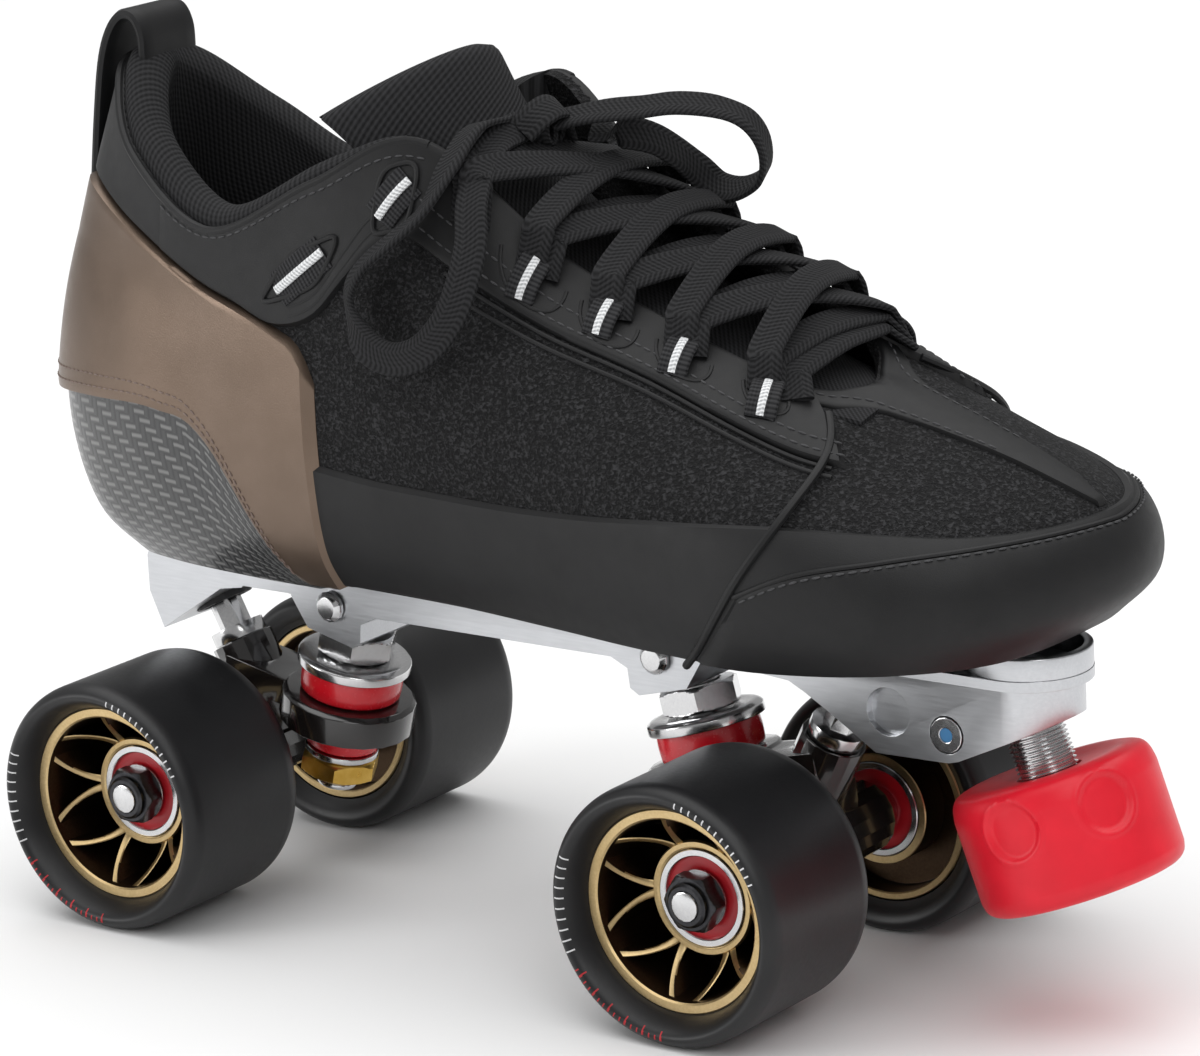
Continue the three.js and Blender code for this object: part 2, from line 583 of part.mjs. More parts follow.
/** A thick sheet over a grid of points: outer(i, j) and inner(i, j), i along, j up. */
function thickSheet(along, up, closed, outer, inner) {
  const rows = closed ? along : along + 1;
  const positions = [];
  for (const surface of [outer, inner]) {
    for (let i = 0; i < rows; i += 1) {
      for (let j = 0; j <= up; j += 1) positions.push(...surface(i, j).toArray());
    }
  }
  const vertex = (layer, i, j) => layer * rows * (up + 1) + (i % rows) * (up + 1) + j;
  const index = [];
  const quad = (a, b, c, d) => index.push(a, b, c, a, c, d);
  for (let i = 0; i < along; i += 1) {
    for (let j = 0; j < up; j += 1) {
      quad(vertex(0, i, j), vertex(0, i + 1, j), vertex(0, i + 1, j + 1), vertex(0, i, j + 1));
      quad(vertex(1, i, j), vertex(1, i, j + 1), vertex(1, i + 1, j + 1), vertex(1, i + 1, j));
    }
    quad(vertex(1, i, 0), vertex(1, i + 1, 0), vertex(0, i + 1, 0), vertex(0, i, 0));
    quad(vertex(0, i, up), vertex(0, i + 1, up), vertex(1, i + 1, up), vertex(1, i, up));
  }
  if (!closed) {
    for (let j = 0; j < up; j += 1) {
      quad(vertex(1, 0, j), vertex(0, 0, j), vertex(0, 0, j + 1), vertex(1, 0, j + 1));
      quad(vertex(0, along, j), vertex(1, along, j), vertex(1, along, j + 1), vertex(0, along, j + 1));
    }
  }
  const geometry = new THREE.BufferGeometry();
  geometry.setAttribute('position', new THREE.Float32BufferAttribute(positions, 3));
  geometry.setIndex(index);
  return geometry;
}

/** A patch of skin on the boot between two stations and two levels. */
function bootPatch({ from, to, low, high, inside, outside, up }) {
  const along = Math.round((to - from) * 2);
  const closed = to - from === AROUND;
  const at = (out) => (i, j) => {
    const station = from + (to - from) * i / along;
    const bottom = typeof low === 'function' ? low(station) : low;
    const top = typeof high === 'function' ? high(station) : high;
    return offBoot(station, bottom + (top - bottom) * j / up, out);
  };
  return thickSheet(along, up, closed, at(outside), at(inside));
}

/** A slab inside the sole's edge line, from just ahead of the heel's end to the toe's. */
function soleSlab(inset, low, high) {
  const along = 2 * TOE;
  const edge = (station) => {
    const turn = (((station % AROUND) + AROUND) % AROUND) / AROUND;
    const point = LEVEL_RINGS[0].getPoint(turn);
    const { x, y } = LEVEL_RINGS[0].getTangent(turn);
    const scale = inset / Math.hypot(x, y);
    return point.add(new THREE.Vector3(-y * scale, x * scale, 0));
  };
  const at = (rise) => (i, j) => {
    const station = SLAB_END + (TOE - 2 * SLAB_END) * i / along;
    const point = edge(j ? -station : station);
    point.z += rise;
    return point;
  };
  return thickSheet(along, 1, false, at(high), at(low));
}

const SOLE_LOW = PLATE_TOP + GAP - LAST[0][0][2];     // sole's underside, from its edge line
const SOLE_HIGH = SOLE_LOW + SOLE_T;
const FOOT_LEVEL = 0.26;                              // where the upper starts above the sole
const SHELL_TOP = 1.95;
const SHELL_REACH = 3.5;                              // stations round from the heel
const OVER_SKIN = SKIN_GAP + SKIN_T;

function carbonShellGeometry() {
  const cup = bootPatch({ from: -SHELL_REACH, to: SHELL_REACH, low: 0, high: SHELL_TOP,
    inside: SKIN_GAP, outside: OVER_SKIN, up: 5 });
  return shape(solid(soleSlab(-OVER_SKIN, SOLE_LOW, SOLE_HIGH)).add(solid(cup)));
}

const heelTop = (station) => 3.9 - 1.5 * (Math.abs(station) / SHELL_REACH) ** 1.6;

function eyestayFoot(station) {
  const ahead = Math.abs(station - TOE);
  const ankle = THREE.MathUtils.clamp((ahead - 5.2) / 1.6, 0, 1);
  return 4.2 - 1.3 * ankle;
}

/** The tongue's middle in side view, toe end first, with the radius and the half angle
 * of its arch there. */
const TONGUE_LINE = [[104, 128, 40, 14], [84, 133.5, 40, 20], [62, 146, 36, 27],
  [38, 157, 32, 32], [20, 168, 27, 40], [10, 178, 23, 55], [2, 190, 22, 88], [-5, 203, 22, 96]];

function tongueGeometry() {
  const spine = new THREE.CatmullRomCurve3(
    TONGUE_LINE.map(([x, z]) => new THREE.Vector3(x, 0, z)), false, 'catmullrom');
  const arches = new THREE.CatmullRomCurve3(
    TONGUE_LINE.map(([, , radius, angle]) => new THREE.Vector3(radius, rad(angle), 0)),
    false, 'catmullrom');
  const at = (rise) => (i, j) => {
    const t = i / TONGUE_STEPS;
    const arch = arches.getPoint(t);
    const angle = arch.y * (1 - 2 * j / TONGUE_STRIPS);
    const radius = arch.x + rise;
    const { x: tx, z: tz } = spine.getTangent(t);
    const out = radius * Math.cos(angle) - arch.x;
    return spine.getPoint(t).add(new THREE.Vector3(tz * out, radius * Math.sin(angle), -tx * out));
  };
  return thickSheet(TONGUE_STEPS, TONGUE_STRIPS, false, at(0), at(-TONGUE_T));
}

/** The pull tab: a strip that rises behind the heel and folds over to the front. */
function pullTabGeometry() {
  const [heelX, , heelZ] = LAST[0][TOP_LINE];
  const side = [[-11.5, -29], [-9.5, -16], [-7, -2], [-3, 7], [1, 10.5], [6, 11.5]];
  const inner = [[7, 8.5], [2, 7.5], [-0.5, 5], [-4, -3], [-6.4, -17], [-8.5, -28.5]];
  const outline = new THREE.Shape([...side, ...inner].map(([x, z]) => new THREE.Vector2(x, z)));
  return new THREE.ExtrudeGeometry(outline, { depth: PULL_TAB_W, bevelEnabled: false })
    .translate(heelX, heelZ, -PULL_TAB_W / 2).rotateX(Math.PI / 2);
}

// ---------------------------------------------------------------- laces
/** A plain round cord along a list of points. */
function cord(points, steps) {
  const route = new THREE.CatmullRomCurve3(points.map((p) => new THREE.Vector3(...p)));
  const section = new THREE.Shape();
  section.absarc(0, 0, LACE_D / 2, 0, 2 * Math.PI);
  return new THREE.ExtrudeGeometry(section,
    { steps, extrudePath: route, curveSegments: 4, bevelEnabled: false });
}

const LACE_ROWS = [8.1, 7.4, 6.65, 6.0, 5.5];  // stations of the eyelet loops, toe end first
const MEDIAL_LEAD = 0.4;                      // stations a row's medial end lies ahead
const LACE_RISE = OVER_SKIN + LACE_D / 2 + 0.8;
const LACE_ARCH = 1;                          // how far a row stands over the tongue

const TO_KNOT = [[17, 8, 179.5], [16, 0, 180.1]];  // the lacing's end, under the knot

/** The lacing: one run from side to side up the throat, over the eyestays. */
function lacingGeometry() {
  const points = [];
  LACE_ROWS.forEach((station, row) => {
    const side = row % 2 ? -1 : 1;
    const edge = (sign, level) => offBoot(
      sign > 0 ? station : -station - MEDIAL_LEAD, level, LACE_RISE);
    const middle = edge(1, 5).add(edge(-1, 5)).multiplyScalar(0.5);
    middle.z += LACE_ARCH;
    points.push(edge(side, 4.6), edge(side, 5), middle, edge(-side, 5), edge(-side, 4.6));
  });
  const rows = points.slice(0, -2).map((p) => p.toArray());
  return cord([...rows, ...TO_KNOT], 50);
}

// The bow's knot and its two loops, as they hang.
const KNOT = [15, -2, 186];
const MEDIAL_LOOP = [
  [18, -1, 187], [27, 2, 189], [36, 5, 190], [44, 8, 191], [52, 12, 190], [58, 15, 187],
  [60, 18, 181], [58, 20, 174], [51, 21, 170], [44, 22, 170], [40, 20, 174], [38, 16, 178],
  [35, 11, 182], [30, 6, 184], [24, 3, 184],
];
const LATERAL_LOOP = [[14, -8.2, 187], [13, -16, 185], [14, -24, 181], [17, -32, 174], [20, -37, 166],
  [20, -41, 158], [18, -43.5, 151], [12, -45, 144], [4, -45.5, 141], [-4, -45, 143], [-9, -43.5, 149],
  [-10, -42.5, 155], [-6, -41.5, 161], [0, -39.5, 166], [6, -35.5, 172], [9, -29.5, 181], [9, -20, 187.5],
  [10, -11, 188]];

function laces(skate) {
  add(skate, 'lacing', lacingGeometry(), LOOK.lace);
  const knot = new THREE.SphereGeometry(5, 10, 8).scale(1, 1.1, 0.8).translate(...KNOT);
  const medialLoop = solid(cord(MEDIAL_LOOP, 26));
  add(skate, 'medial_lace_loop', shape(solid(knot).add(medialLoop)), LOOK.lace);
  add(skate, 'lateral_lace_loop', cord(LATERAL_LOOP, 28), LOOK.lace);
}

function boot(skate) {
  add(skate, 'carbon_shell', carbonShellGeometry(), LOOK.carbon);
  add(skate, 'insole', soleSlab(UPPER_T + SKIN_GAP + 1.5, SOLE_HIGH + GAP, SOLE_HIGH + GAP + 2.5),
    LOOK.lining);
  add(skate, 'upper', bootPatch({ from: 0, to: AROUND, low: FOOT_LEVEL, high: TOP_LINE,
    inside: -UPPER_T, outside: 0, up: 9 }), LOOK.textile);
  add(skate, 'toe_rand', bootPatch({ from: SHELL_REACH + 0.5, to: AROUND - SHELL_REACH - 0.5,
    low: FOOT_LEVEL, high: 2, inside: SKIN_GAP, outside: OVER_SKIN, up: 4 }), LOOK.leather);
  add(skate, 'heel_counter', bootPatch({ from: -SHELL_REACH, to: SHELL_REACH, low: SHELL_TOP + 0.06,
    high: heelTop, inside: SKIN_GAP, outside: OVER_SKIN, up: 4 }), LOOK.bronze);
  add(skate, 'eyestay', bootPatch({ from: TOE - 7, to: TOE + 7, low: eyestayFoot,
    high: TOP_LINE, inside: SKIN_GAP, outside: OVER_SKIN, up: 5 }), LOOK.leather);
  add(skate, 'collar_lining', bootPatch({ from: -4, to: 4, low: 3.7, high: TOP_LINE,
    inside: -UPPER_T - SKIN_GAP - LINING_T, outside: -UPPER_T - SKIN_GAP, up: 4 }), LOOK.lining);
  add(skate, 'tongue', tongueGeometry(), LOOK.lining);
  add(skate, 'pull_tab', pullTabGeometry(), LOOK.leather);
  laces(skate);
}

// ---------------------------------------------------------------- the whole skate
/** Middle of the skate's length, from the back of the heel to the front of the toe stop. */
function middleOfLength() {
  const heelBack = Math.min(...LAST[0].map(([x]) => x)) * BOOT_LENGTH_SCALE - OVER_SKIN;
  const down = STOP_DROP + STOP_H - 2.5;
  const front = STOP_X + down * Math.sin(rad(STOP_TILT)) + STOP_D / 2 * Math.cos(rad(STOP_TILT));
  return (heelBack + front) / 2;
}

const skate = new THREE.Group();
skate.name = 'quad_skate';
skate.position.x = -middleOfLength();
for (const end of [1, -1]) truck(skate, end);
add(skate, 'plate', plateGeometry(), LOOK.aluminium);
const lockScrew = add(skate, 'toe_stop_lock_screw', lockScrewGeometry(), LOOK.steel);
lockScrew.position.set(WHEELBASE / 2 + LOCK_SCREW_X, 0, AXLE_Z + LOCK_SCREW_Z);
toeStop(skate);
boot(skate);

export default skate;
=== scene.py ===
# %% [markdown]
# A quad roller skate, dressed over its CAD model.
# The CAD model fixes every size and every joint. Here each piece gets the shape and the
# finish that the eye expects: a laced boot on a carbon sole, a machined plate, two sprung
# trucks, four wheels and a red toe stop. The work goes from the camera and the free
# laces to the boot, then down to the metal.

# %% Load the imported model
import math

import bmesh
import bpy
import numpy as np
from mathutils import Matrix, Vector


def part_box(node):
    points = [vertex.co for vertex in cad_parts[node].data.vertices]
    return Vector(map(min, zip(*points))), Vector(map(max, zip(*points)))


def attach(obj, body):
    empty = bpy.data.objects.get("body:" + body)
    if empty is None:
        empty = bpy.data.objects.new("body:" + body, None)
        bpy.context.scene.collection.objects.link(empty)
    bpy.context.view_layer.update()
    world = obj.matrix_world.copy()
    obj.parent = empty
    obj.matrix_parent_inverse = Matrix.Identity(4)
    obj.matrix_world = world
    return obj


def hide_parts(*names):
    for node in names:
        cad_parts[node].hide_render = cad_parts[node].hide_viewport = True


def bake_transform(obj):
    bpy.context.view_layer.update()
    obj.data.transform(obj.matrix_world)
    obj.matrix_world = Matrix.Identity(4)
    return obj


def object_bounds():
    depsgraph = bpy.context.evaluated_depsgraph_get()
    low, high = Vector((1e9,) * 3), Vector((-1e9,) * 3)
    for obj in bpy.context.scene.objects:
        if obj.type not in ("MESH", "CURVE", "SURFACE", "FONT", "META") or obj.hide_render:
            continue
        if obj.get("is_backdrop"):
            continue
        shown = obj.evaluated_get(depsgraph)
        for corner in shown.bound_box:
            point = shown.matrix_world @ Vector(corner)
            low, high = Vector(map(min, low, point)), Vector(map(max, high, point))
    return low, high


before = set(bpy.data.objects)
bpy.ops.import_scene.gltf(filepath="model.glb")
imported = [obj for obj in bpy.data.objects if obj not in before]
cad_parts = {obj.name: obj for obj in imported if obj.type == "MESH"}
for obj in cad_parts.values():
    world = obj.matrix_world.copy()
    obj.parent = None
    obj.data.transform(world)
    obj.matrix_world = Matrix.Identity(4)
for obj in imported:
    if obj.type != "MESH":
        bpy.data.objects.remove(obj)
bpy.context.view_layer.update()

# %% [markdown]
# All the sizes below are in millimetres, counted from the ground under the middle
# between the two axles. The two axles tell where that middle lies in the model.

# %% Millimetres to the model's frame
MM = 0.001


def middle(node):
    low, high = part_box(node)
    return (low + high) / 2


MIDDLE_X = (middle("front_axle").x + middle("rear_axle").x) / 2
HALF_BASE = (middle("front_axle").x - middle("rear_axle").x) / 2 / MM
AXLE_Z = middle("front_axle").z / MM
to_frame = Matrix.Translation((MIDDLE_X, 0, 0)) @ Matrix.Scale(MM, 4)
print("half the wheelbase", HALF_BASE, "axle height", AXLE_Z)


def at(x, y, z):
    return to_frame @ Vector((x, y, z))


# %% [markdown]
# The camera stands low on the lateral side, ahead of the skate, with a long lens.

# %% Camera
camera = bpy.data.objects.new("camera", bpy.data.cameras.new("camera"))
bpy.context.scene.collection.objects.link(camera)
right, up, back = (0.8075, 0.5879, -0.048), (-0.1149, 0.2366, 0.9648), (0.5785, -0.7736, 0.2586)
turn = Matrix((right, up, back)).transposed().to_4x4()
camera.matrix_world = Matrix.Translation(at(690.2, -891.6, 392.2)) @ turn
camera.data.lens = 153.9
camera.data.sensor_width = 36
camera.data.clip_start = 0.05
bpy.context.scene.camera = camera

# %% [markdown]
# Finishes come before the pieces, because each piece is given its finish as it is made.
# A small helper keeps each one short: it makes a Principled shader, sets its sockets,
# and adds nodes by name. Patterns read Object coordinates, in metres, or a piece's own
# UV map, which is laid out in millimetres along and across the cloth.


# %% A helper for finishes
class Finish:
    def __init__(self, name, **sockets):
        self.material = bpy.data.materials.new(name)
        self.material.use_nodes = True
        self.nodes = self.material.node_tree.nodes
        self.links = self.material.node_tree.links
        self.shader = self.nodes["Principled BSDF"]
        for socket, value in sockets.items():
            self.shader.inputs[socket.replace("_", " ")].default_value = value

    def node(self, kind, settings=None, **inputs):
        made = self.nodes.new(kind)
        for key, value in (settings or {}).items():
            setattr(made, key, value)
        for key, value in inputs.items():
            socket = made.inputs[int(key[1:])] if key[1:].isdigit() else made.inputs[key.replace("_", " ")]
            if isinstance(value, bpy.types.NodeSocket):
                self.links.new(value, socket)
            else:
                socket.default_value = value
        return made

    def math(self, operation, a, b=0.0):
        return self.node("ShaderNodeMath", {"operation": operation}, i0=a, i1=b).outputs[0]

    def place(self, stretch=(1, 1, 1), turn_by=(0, 0, 0), uv=False):
        """Coordinates of the piece, in millimetres."""
        source = self.node("ShaderNodeTexCoord").outputs["UV" if uv else "Object"]
        scale = tuple(s * (1 if uv else 1 / MM) for s in stretch)
        return self.node("ShaderNodeMapping", Vector=source, Scale=scale, Rotation=turn_by).outputs[0]

    def noise(self, size, detail=3.0, where=None):
        where = where or self.place()
        return self.node("ShaderNodeTexNoise", Vector=where, Scale=1 / size, Detail=detail).outputs[0]

    def ramp(self, factor, stops):
        made = self.node("ShaderNodeValToRGB", Fac=factor)
        elements = made.color_ramp.elements
        while len(elements) < len(stops):
            elements.new(0.5)
        for element, (place, tone) in zip(elements, stops):
            element.position = place
            element.color = (tone, tone, tone, 1) if isinstance(tone, float) else (*tone, 1)
        return made.outputs[0]

    def colour(self, output):
        self.links.new(output, self.shader.inputs["Base Color"])

    def rough(self, factor, low, high):
        spread = self.node("ShaderNodeMapRange", Value=factor, To_Min=low, To_Max=high)
        self.links.new(spread.outputs[0], self.shader.inputs["Roughness"])

    def bump(self, height, depth, strength=1.0):
        made = self.node("ShaderNodeBump", Height=height, Distance=depth * MM, Strength=strength)
        self.links.new(made.outputs[0], self.shader.inputs["Normal"])


# %% [markdown]
# The boot's cloths. The quarter and the toe box are a pebbled textile: small grey grains
# on black, so one twisted noise gives both its colour and its bumps.

# %% Pebbled textile
pebbled = Finish("pebbled_textile", Roughness=0.85, Specular_IOR_Level=0.25)
grains = pebbled.node("ShaderNodeTexNoise", Vector=pebbled.place((1, 1, 1.25)), Scale=1.15, Detail=1.5,
                      Roughness=0.45, Distortion=0.7).outputs[0]
pebbled.colour(pebbled.ramp(grains, [(0.42, (0.003, 0.003, 0.0034)), (0.54, (0.010, 0.010, 0.0105)),
                                     (0.68, (0.030, 0.030, 0.032))]))
pebbled.bump(grains, 0.9, 0.9)

# %% [markdown]
# The overlays are a smooth black microfibre with a faint grain. It is matt, with slightly
# paler, smoother patches where it is rubbed.


# %% Microfibre, and the same in metallic bronze
def microfibre(name, dark, pale, low, high, **sockets):
    made = Finish(name, **sockets)
    cloud = made.noise(14.0, 5.0)
    made.colour(made.ramp(cloud, [(0.3, dark), (0.75, pale)]))
    made.rough(made.noise(3.0, 4.0), low, high)
    creases = made.node("ShaderNodeTexVoronoi", {"feature": "DISTANCE_TO_EDGE"},
                        Vector=made.place(), Scale=1.6)
    fine = made.noise(0.25, 2.0)
    rise = made.math("ADD", made.math("MINIMUM", creases.outputs[0], 0.12), made.math("MULTIPLY", fine,
                     0.12))
    made.bump(rise, 0.25, 0.35)
    return made


smooth_black = microfibre("smooth_microfibre", (0.0065, 0.0065, 0.007), (0.011, 0.011, 0.0115), 0.46, 0.58,
                           Specular_IOR_Level=0.28)
bronze = microfibre("bronze_microfibre", (0.150, 0.107, 0.079), (0.180, 0.130, 0.098), 0.28, 0.40,
                    Metallic=0.75)

# %% [markdown]
# Carbon fibre is a 2/2 twill under clear lacquer: each tow passes over two and under two,
# one step further along in each row. Steps along and across give the tow's number, and
# the remainder of their sum by four says which way the tow on top runs.

# %% Carbon twill
carbon = Finish("carbon_twill", Roughness=0.35, Coat_Weight=0.35, Coat_Roughness=0.08)
tow = 1.7
where = carbon.node("ShaderNodeSeparateXYZ", Vector=carbon.place((1 / tow, 1 / tow, 1), uv=True))
along, across = where.outputs[0], where.outputs[1]
step_sum = carbon.math("ADD", carbon.math("FLOOR", along), carbon.math("FLOOR", across))
over = carbon.math("LESS_THAN", carbon.math("FLOORED_MODULO", step_sum, 4.0), 2.0)
# Painted sheen: the colour makes each tow lighter along its crown, and the tows on top lighter than those
# below, standing in for light on the lacquered fibre.
crown_a = carbon.math("SINE", carbon.math("MULTIPLY", carbon.math("FRACT", along), math.pi))
crown_b = carbon.math("SINE", carbon.math("MULTIPLY", carbon.math("FRACT", across), math.pi))
crown = carbon.node("ShaderNodeMix", {"data_type": "FLOAT"}, i0=over, i2=crown_a, i3=crown_b).outputs[0]
tone = carbon.math("MULTIPLY", crown, carbon.math("ADD", 0.55, carbon.math("MULTIPLY", over, 0.45)))
carbon.colour(carbon.ramp(tone, [(0.15, (0.006, 0.006, 0.007)), (0.6, (0.028, 0.029, 0.030)),
                                 (1.0, (0.150, 0.150, 0.146))]))
carbon.bump(crown, 0.08, 0.5)


# %% [markdown]
# The lining, the tongue and the laces are ribbed weaves. Each is a wave across the UV map,
# in millimetres; a lace has two slanted waves that meet in a herringbone.


# %% Ribbed weaves
def ribbed(name, pitch, slant, dark, pale, herringbone=None, depth=0.25):
    made = Finish(name, Roughness=0.85, Specular_IOR_Level=0.25)
    uv = made.node("ShaderNodeSeparateXYZ", Vector=made.place(uv=True))
    u, v = uv.outputs[0], uv.outputs[1]
    if herringbone is not None:
        v = made.math("ABSOLUTE", made.math("SUBTRACT", v, herringbone))
    phase = made.math("ADD", u, made.math("MULTIPLY", v, slant))
    wave = made.math("SINE", made.math("MULTIPLY", phase, 2 * math.pi / pitch))
    cross = made.math("SINE", made.math("MULTIPLY", v, 2 * math.pi / (pitch * 0.8)))
    weave = made.math("ADD", made.math("MULTIPLY", wave, 0.35),
                      made.math("ADD", 0.5, made.math("MULTIPLY", cross, 0.13)))
    weave = made.math("ADD", weave, made.math("MULTIPLY", made.noise(0.8, 2.0), 0.1))
    made.colour(made.ramp(weave, [(0.15, dark), (0.85, pale)]))
    made.bump(weave, depth, 0.9)
    return made


lining_rib = ribbed("lining_rib", 1.5, 0.35, (0.004, 0.004, 0.0045), (0.022, 0.022, 0.0235))
tongue_twill = ribbed("tongue_twill", 1.3, 0.8, (0.006, 0.006, 0.0065), (0.024, 0.024, 0.026))
lace_weave = ribbed("lace_weave", 1.25, 0.75, (0.004, 0.004, 0.0045), (0.021, 0.021, 0.0225), 3.75)
webbing = ribbed("loop_webbing", 1.0, 0.0, (0.006, 0.006, 0.007), (0.035, 0.035, 0.037))
reflective = ribbed("reflective_stripe", 0.9, 0.5, (0.42, 0.43, 0.44), (0.85, 0.86, 0.87))
thread = Finish("stitch_thread", Roughness=0.7)
thread.colour(thread.ramp(thread.noise(0.5), [(0.3, (0.030, 0.030, 0.032)), (0.8, (0.060, 0.060, 0.064))]))
bronze_thread = Finish("bronze_thread", Roughness=0.65)
bronze_thread.colour(bronze_thread.ramp(bronze_thread.noise(0.5),
                                        [(0.3, (0.12, 0.085, 0.07)), (0.8, (0.22, 0.16, 0.135))]))

# %% [markdown]
# Metals and plastics. Machined metal has fine lines along the tool's path, plated steel
# is nearly a mirror with a faint haze, and cast urethane is smooth with a soft shine.


# %% Metals
def metal(name, dark, pale, low, high, stretch=(1, 1, 1), size=0.6, depth=0.02, **sockets):
    made = Finish(name, Metallic=1.0, **sockets)
    lines = made.noise(size, 4.0, made.place(stretch))
    made.colour(made.ramp(made.math("ADD", made.math("MULTIPLY", lines, 0.5),
                                    made.math("MULTIPLY", made.noise(20.0), 0.5)),
                          [(0.3, dark), (0.7, pale)]))
    made.rough(lines, low, high)
    made.bump(lines, depth, 0.4)
    return made


aluminium = metal("satin_aluminium", (0.50, 0.51, 0.53), (0.62, 0.63, 0.65), 0.26, 0.40, (0.08, 1, 1))
steel = metal("polished_steel", (0.58, 0.58, 0.59), (0.72, 0.72, 0.72), 0.14, 0.24)
black_oxide = metal("black_oxide_steel", (0.035, 0.035, 0.038), (0.075, 0.075, 0.08), 0.26, 0.38)
yellow_zinc = metal("yellow_zinc", (0.62, 0.36, 0.06), (0.85, 0.58, 0.16), 0.24, 0.36, size=2.5)
gold = metal("gold_anodised", (0.50, 0.36, 0.17), (0.66, 0.50, 0.27), 0.28, 0.4)
dark_hub = metal("dark_bronze_hub", (0.045, 0.028, 0.017), (0.085, 0.055, 0.034), 0.3, 0.42)


# %% Urethane, rubber and black lacquer
def cast(name, dark, pale, low, high, grain=1.2, depth=0.03, **sockets):
    made = Finish(name, **sockets)
    made.colour(made.ramp(made.noise(11.0, 4.0), [(0.3, dark), (0.75, pale)]))
    made.rough(made.noise(grain, 4.0), low, high)
    made.bump(made.noise(grain * 0.5, 3.0), depth, 0.5)
    return made


tyre_black = cast("satin_urethane", (0.007, 0.007, 0.008), (0.012, 0.012, 0.013), 0.36, 0.48,
                  Specular_IOR_Level=0.4)
cushion_red = cast("red_cushion", (0.66, 0.008, 0.018), (0.78, 0.014, 0.028), 0.2, 0.32,
                   Subsurface_Weight=0.15, Subsurface_Scale=0.002, Coat_Weight=0.4)
stop_red = cast("red_stop_rubber", (0.68, 0.006, 0.020), (0.80, 0.010, 0.028), 0.34, 0.46,
                Specular_IOR_Level=0.4)
lacquer = cast("black_lacquer", (0.008, 0.007, 0.007), (0.016, 0.013, 0.012), 0.13, 0.22, 3.0,
               Coat_Weight=0.8, Coat_Roughness=0.06)
nylon = cast("black_nylon", (0.022, 0.022, 0.024), (0.034, 0.034, 0.036), 0.42, 0.55)
shield_red = cast("red_shield", (0.42, 0.006, 0.014), (0.55, 0.012, 0.022), 0.3, 0.4)
mark_white = cast("white_print", (0.55, 0.55, 0.56), (0.72, 0.72, 0.73), 0.5, 0.6)
mark_red = cast("red_print", (0.36, 0.008, 0.014), (0.48, 0.012, 0.02), 0.5, 0.6)
socket_blue = cast("blue_patch", (0.05, 0.20, 0.42), (0.08, 0.28, 0.55), 0.35, 0.5)
sponge = cast("insole_foam", (0.012, 0.012, 0.013), (0.03, 0.03, 0.032), 0.85, 0.95, 0.5, 0.2)

# %% [markdown]
# Three helpers make nearly every mesh: one turns arrays of points into a piece, one
# makes a thick sheet from an outer and an inner grid, and one spins a profile.

# %% Pieces from points


def piece(name, points, faces, finishes, body, slot=None, replaces=(), uvs=None, sharp=40,
          which=None):
    """A finished mesh from points in the model's frame."""
    mesh = bpy.data.meshes.new(name)
    mesh.from_pydata([tuple(p) for p in points], [], [tuple(f) for f in faces])
    for finish in finishes if isinstance(finishes, (list, tuple)) else [finishes]:
        mesh.materials.append(finish.material)
    if which is not None:
        mesh.polygons.foreach_set("material_index", np.asarray(which, np.int32))
    if uvs is not None:
        corner = np.zeros(len(mesh.loops), np.int32)
        mesh.loops.foreach_get("vertex_index", corner)
        layer = mesh.uv_layers.new(name="UVMap")
        layer.data.foreach_set("uv", np.asarray(uvs, np.float32)[corner].ravel())
    mesh.polygons.foreach_set("use_smooth", [True] * len(mesh.polygons))
    mesh.set_sharp_from_angle(angle=math.radians(sharp))
    mesh.update()
    made = bpy.data.objects.new(name, mesh)
    bpy.context.scene.collection.objects.link(made)
    return settle(made, body, replaces)


def settle(made, body, replaces=()):
    if body:
        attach(made, body)
    if replaces:
        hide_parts(*replaces)
    return made


def framed(points):
    """Rows of millimetre points as points in the model's frame."""
    points = np.asarray(points, float).reshape(-1, 3) * MM
    points[:, 0] += MIDDLE_X
    return points


# %% Thick sheets
def grid_faces(rows, columns, start, closed, flip):
    """Quads over a grid of points stored row by row; closed joins the last row to the first."""
    i = np.arange(rows if closed else rows - 1)[:, None]
    j = np.arange(columns - 1)[None, :]
    a = i * columns + j
    b = ((i + 1) % rows) * columns + j
    quads = np.stack([a, b, b + 1, a + 1], -1).reshape(-1, 4) + start
    return quads[:, ::-1] if flip else quads


def sheet_mesh(outer, inner, closed=False):
    """Points, faces and UVs of a closed shell between two grids, outer facing out."""
    rows, columns = outer.shape[:2]
    count = rows * columns
    faces = [grid_faces(rows, columns, 0, closed, False), grid_faces(rows, columns, count, closed, True)]
    i = np.arange(rows if closed else rows - 1)
    n = (i + 1) % rows
    for j, flip in ((0, False), (columns - 1, True)):
        rim = np.stack([count + i * columns + j, count + n * columns + j, n * columns + j, i * columns + j],
                       -1)
        faces.append(rim[:, ::-1] if flip else rim)
    if not closed:
        j = np.arange(columns - 1)
        last = (rows - 1) * columns
        faces.append(np.stack([count + j, j, j + 1, count + j + 1], -1))
        faces.append(np.stack([last + j, count + last + j, count + last + j + 1, last + j + 1], -1))
    steps = np.linalg.norm(np.diff(outer, axis=0), axis=-1).mean(1)
    rises = np.linalg.norm(np.diff(outer, axis=1), axis=-1).mean(0)
    u = np.concatenate([[0], np.cumsum(steps)])
    v = np.concatenate([[0], np.cumsum(rises)])
    uv = np.stack(np.meshgrid(u, v, indexing="ij"), -1).reshape(-1, 2)
    return np.concatenate([outer.reshape(-1, 3), inner.reshape(-1, 3)]), np.concatenate(faces), \
        np.concatenate([uv, uv])


def sheet_piece(name, outer, inner, finishes, body, closed=False, **more):
    points, faces, uvs = sheet_mesh(outer, inner, closed)
    return piece(name, framed(points), faces, finishes, body, uvs=uvs, **more)


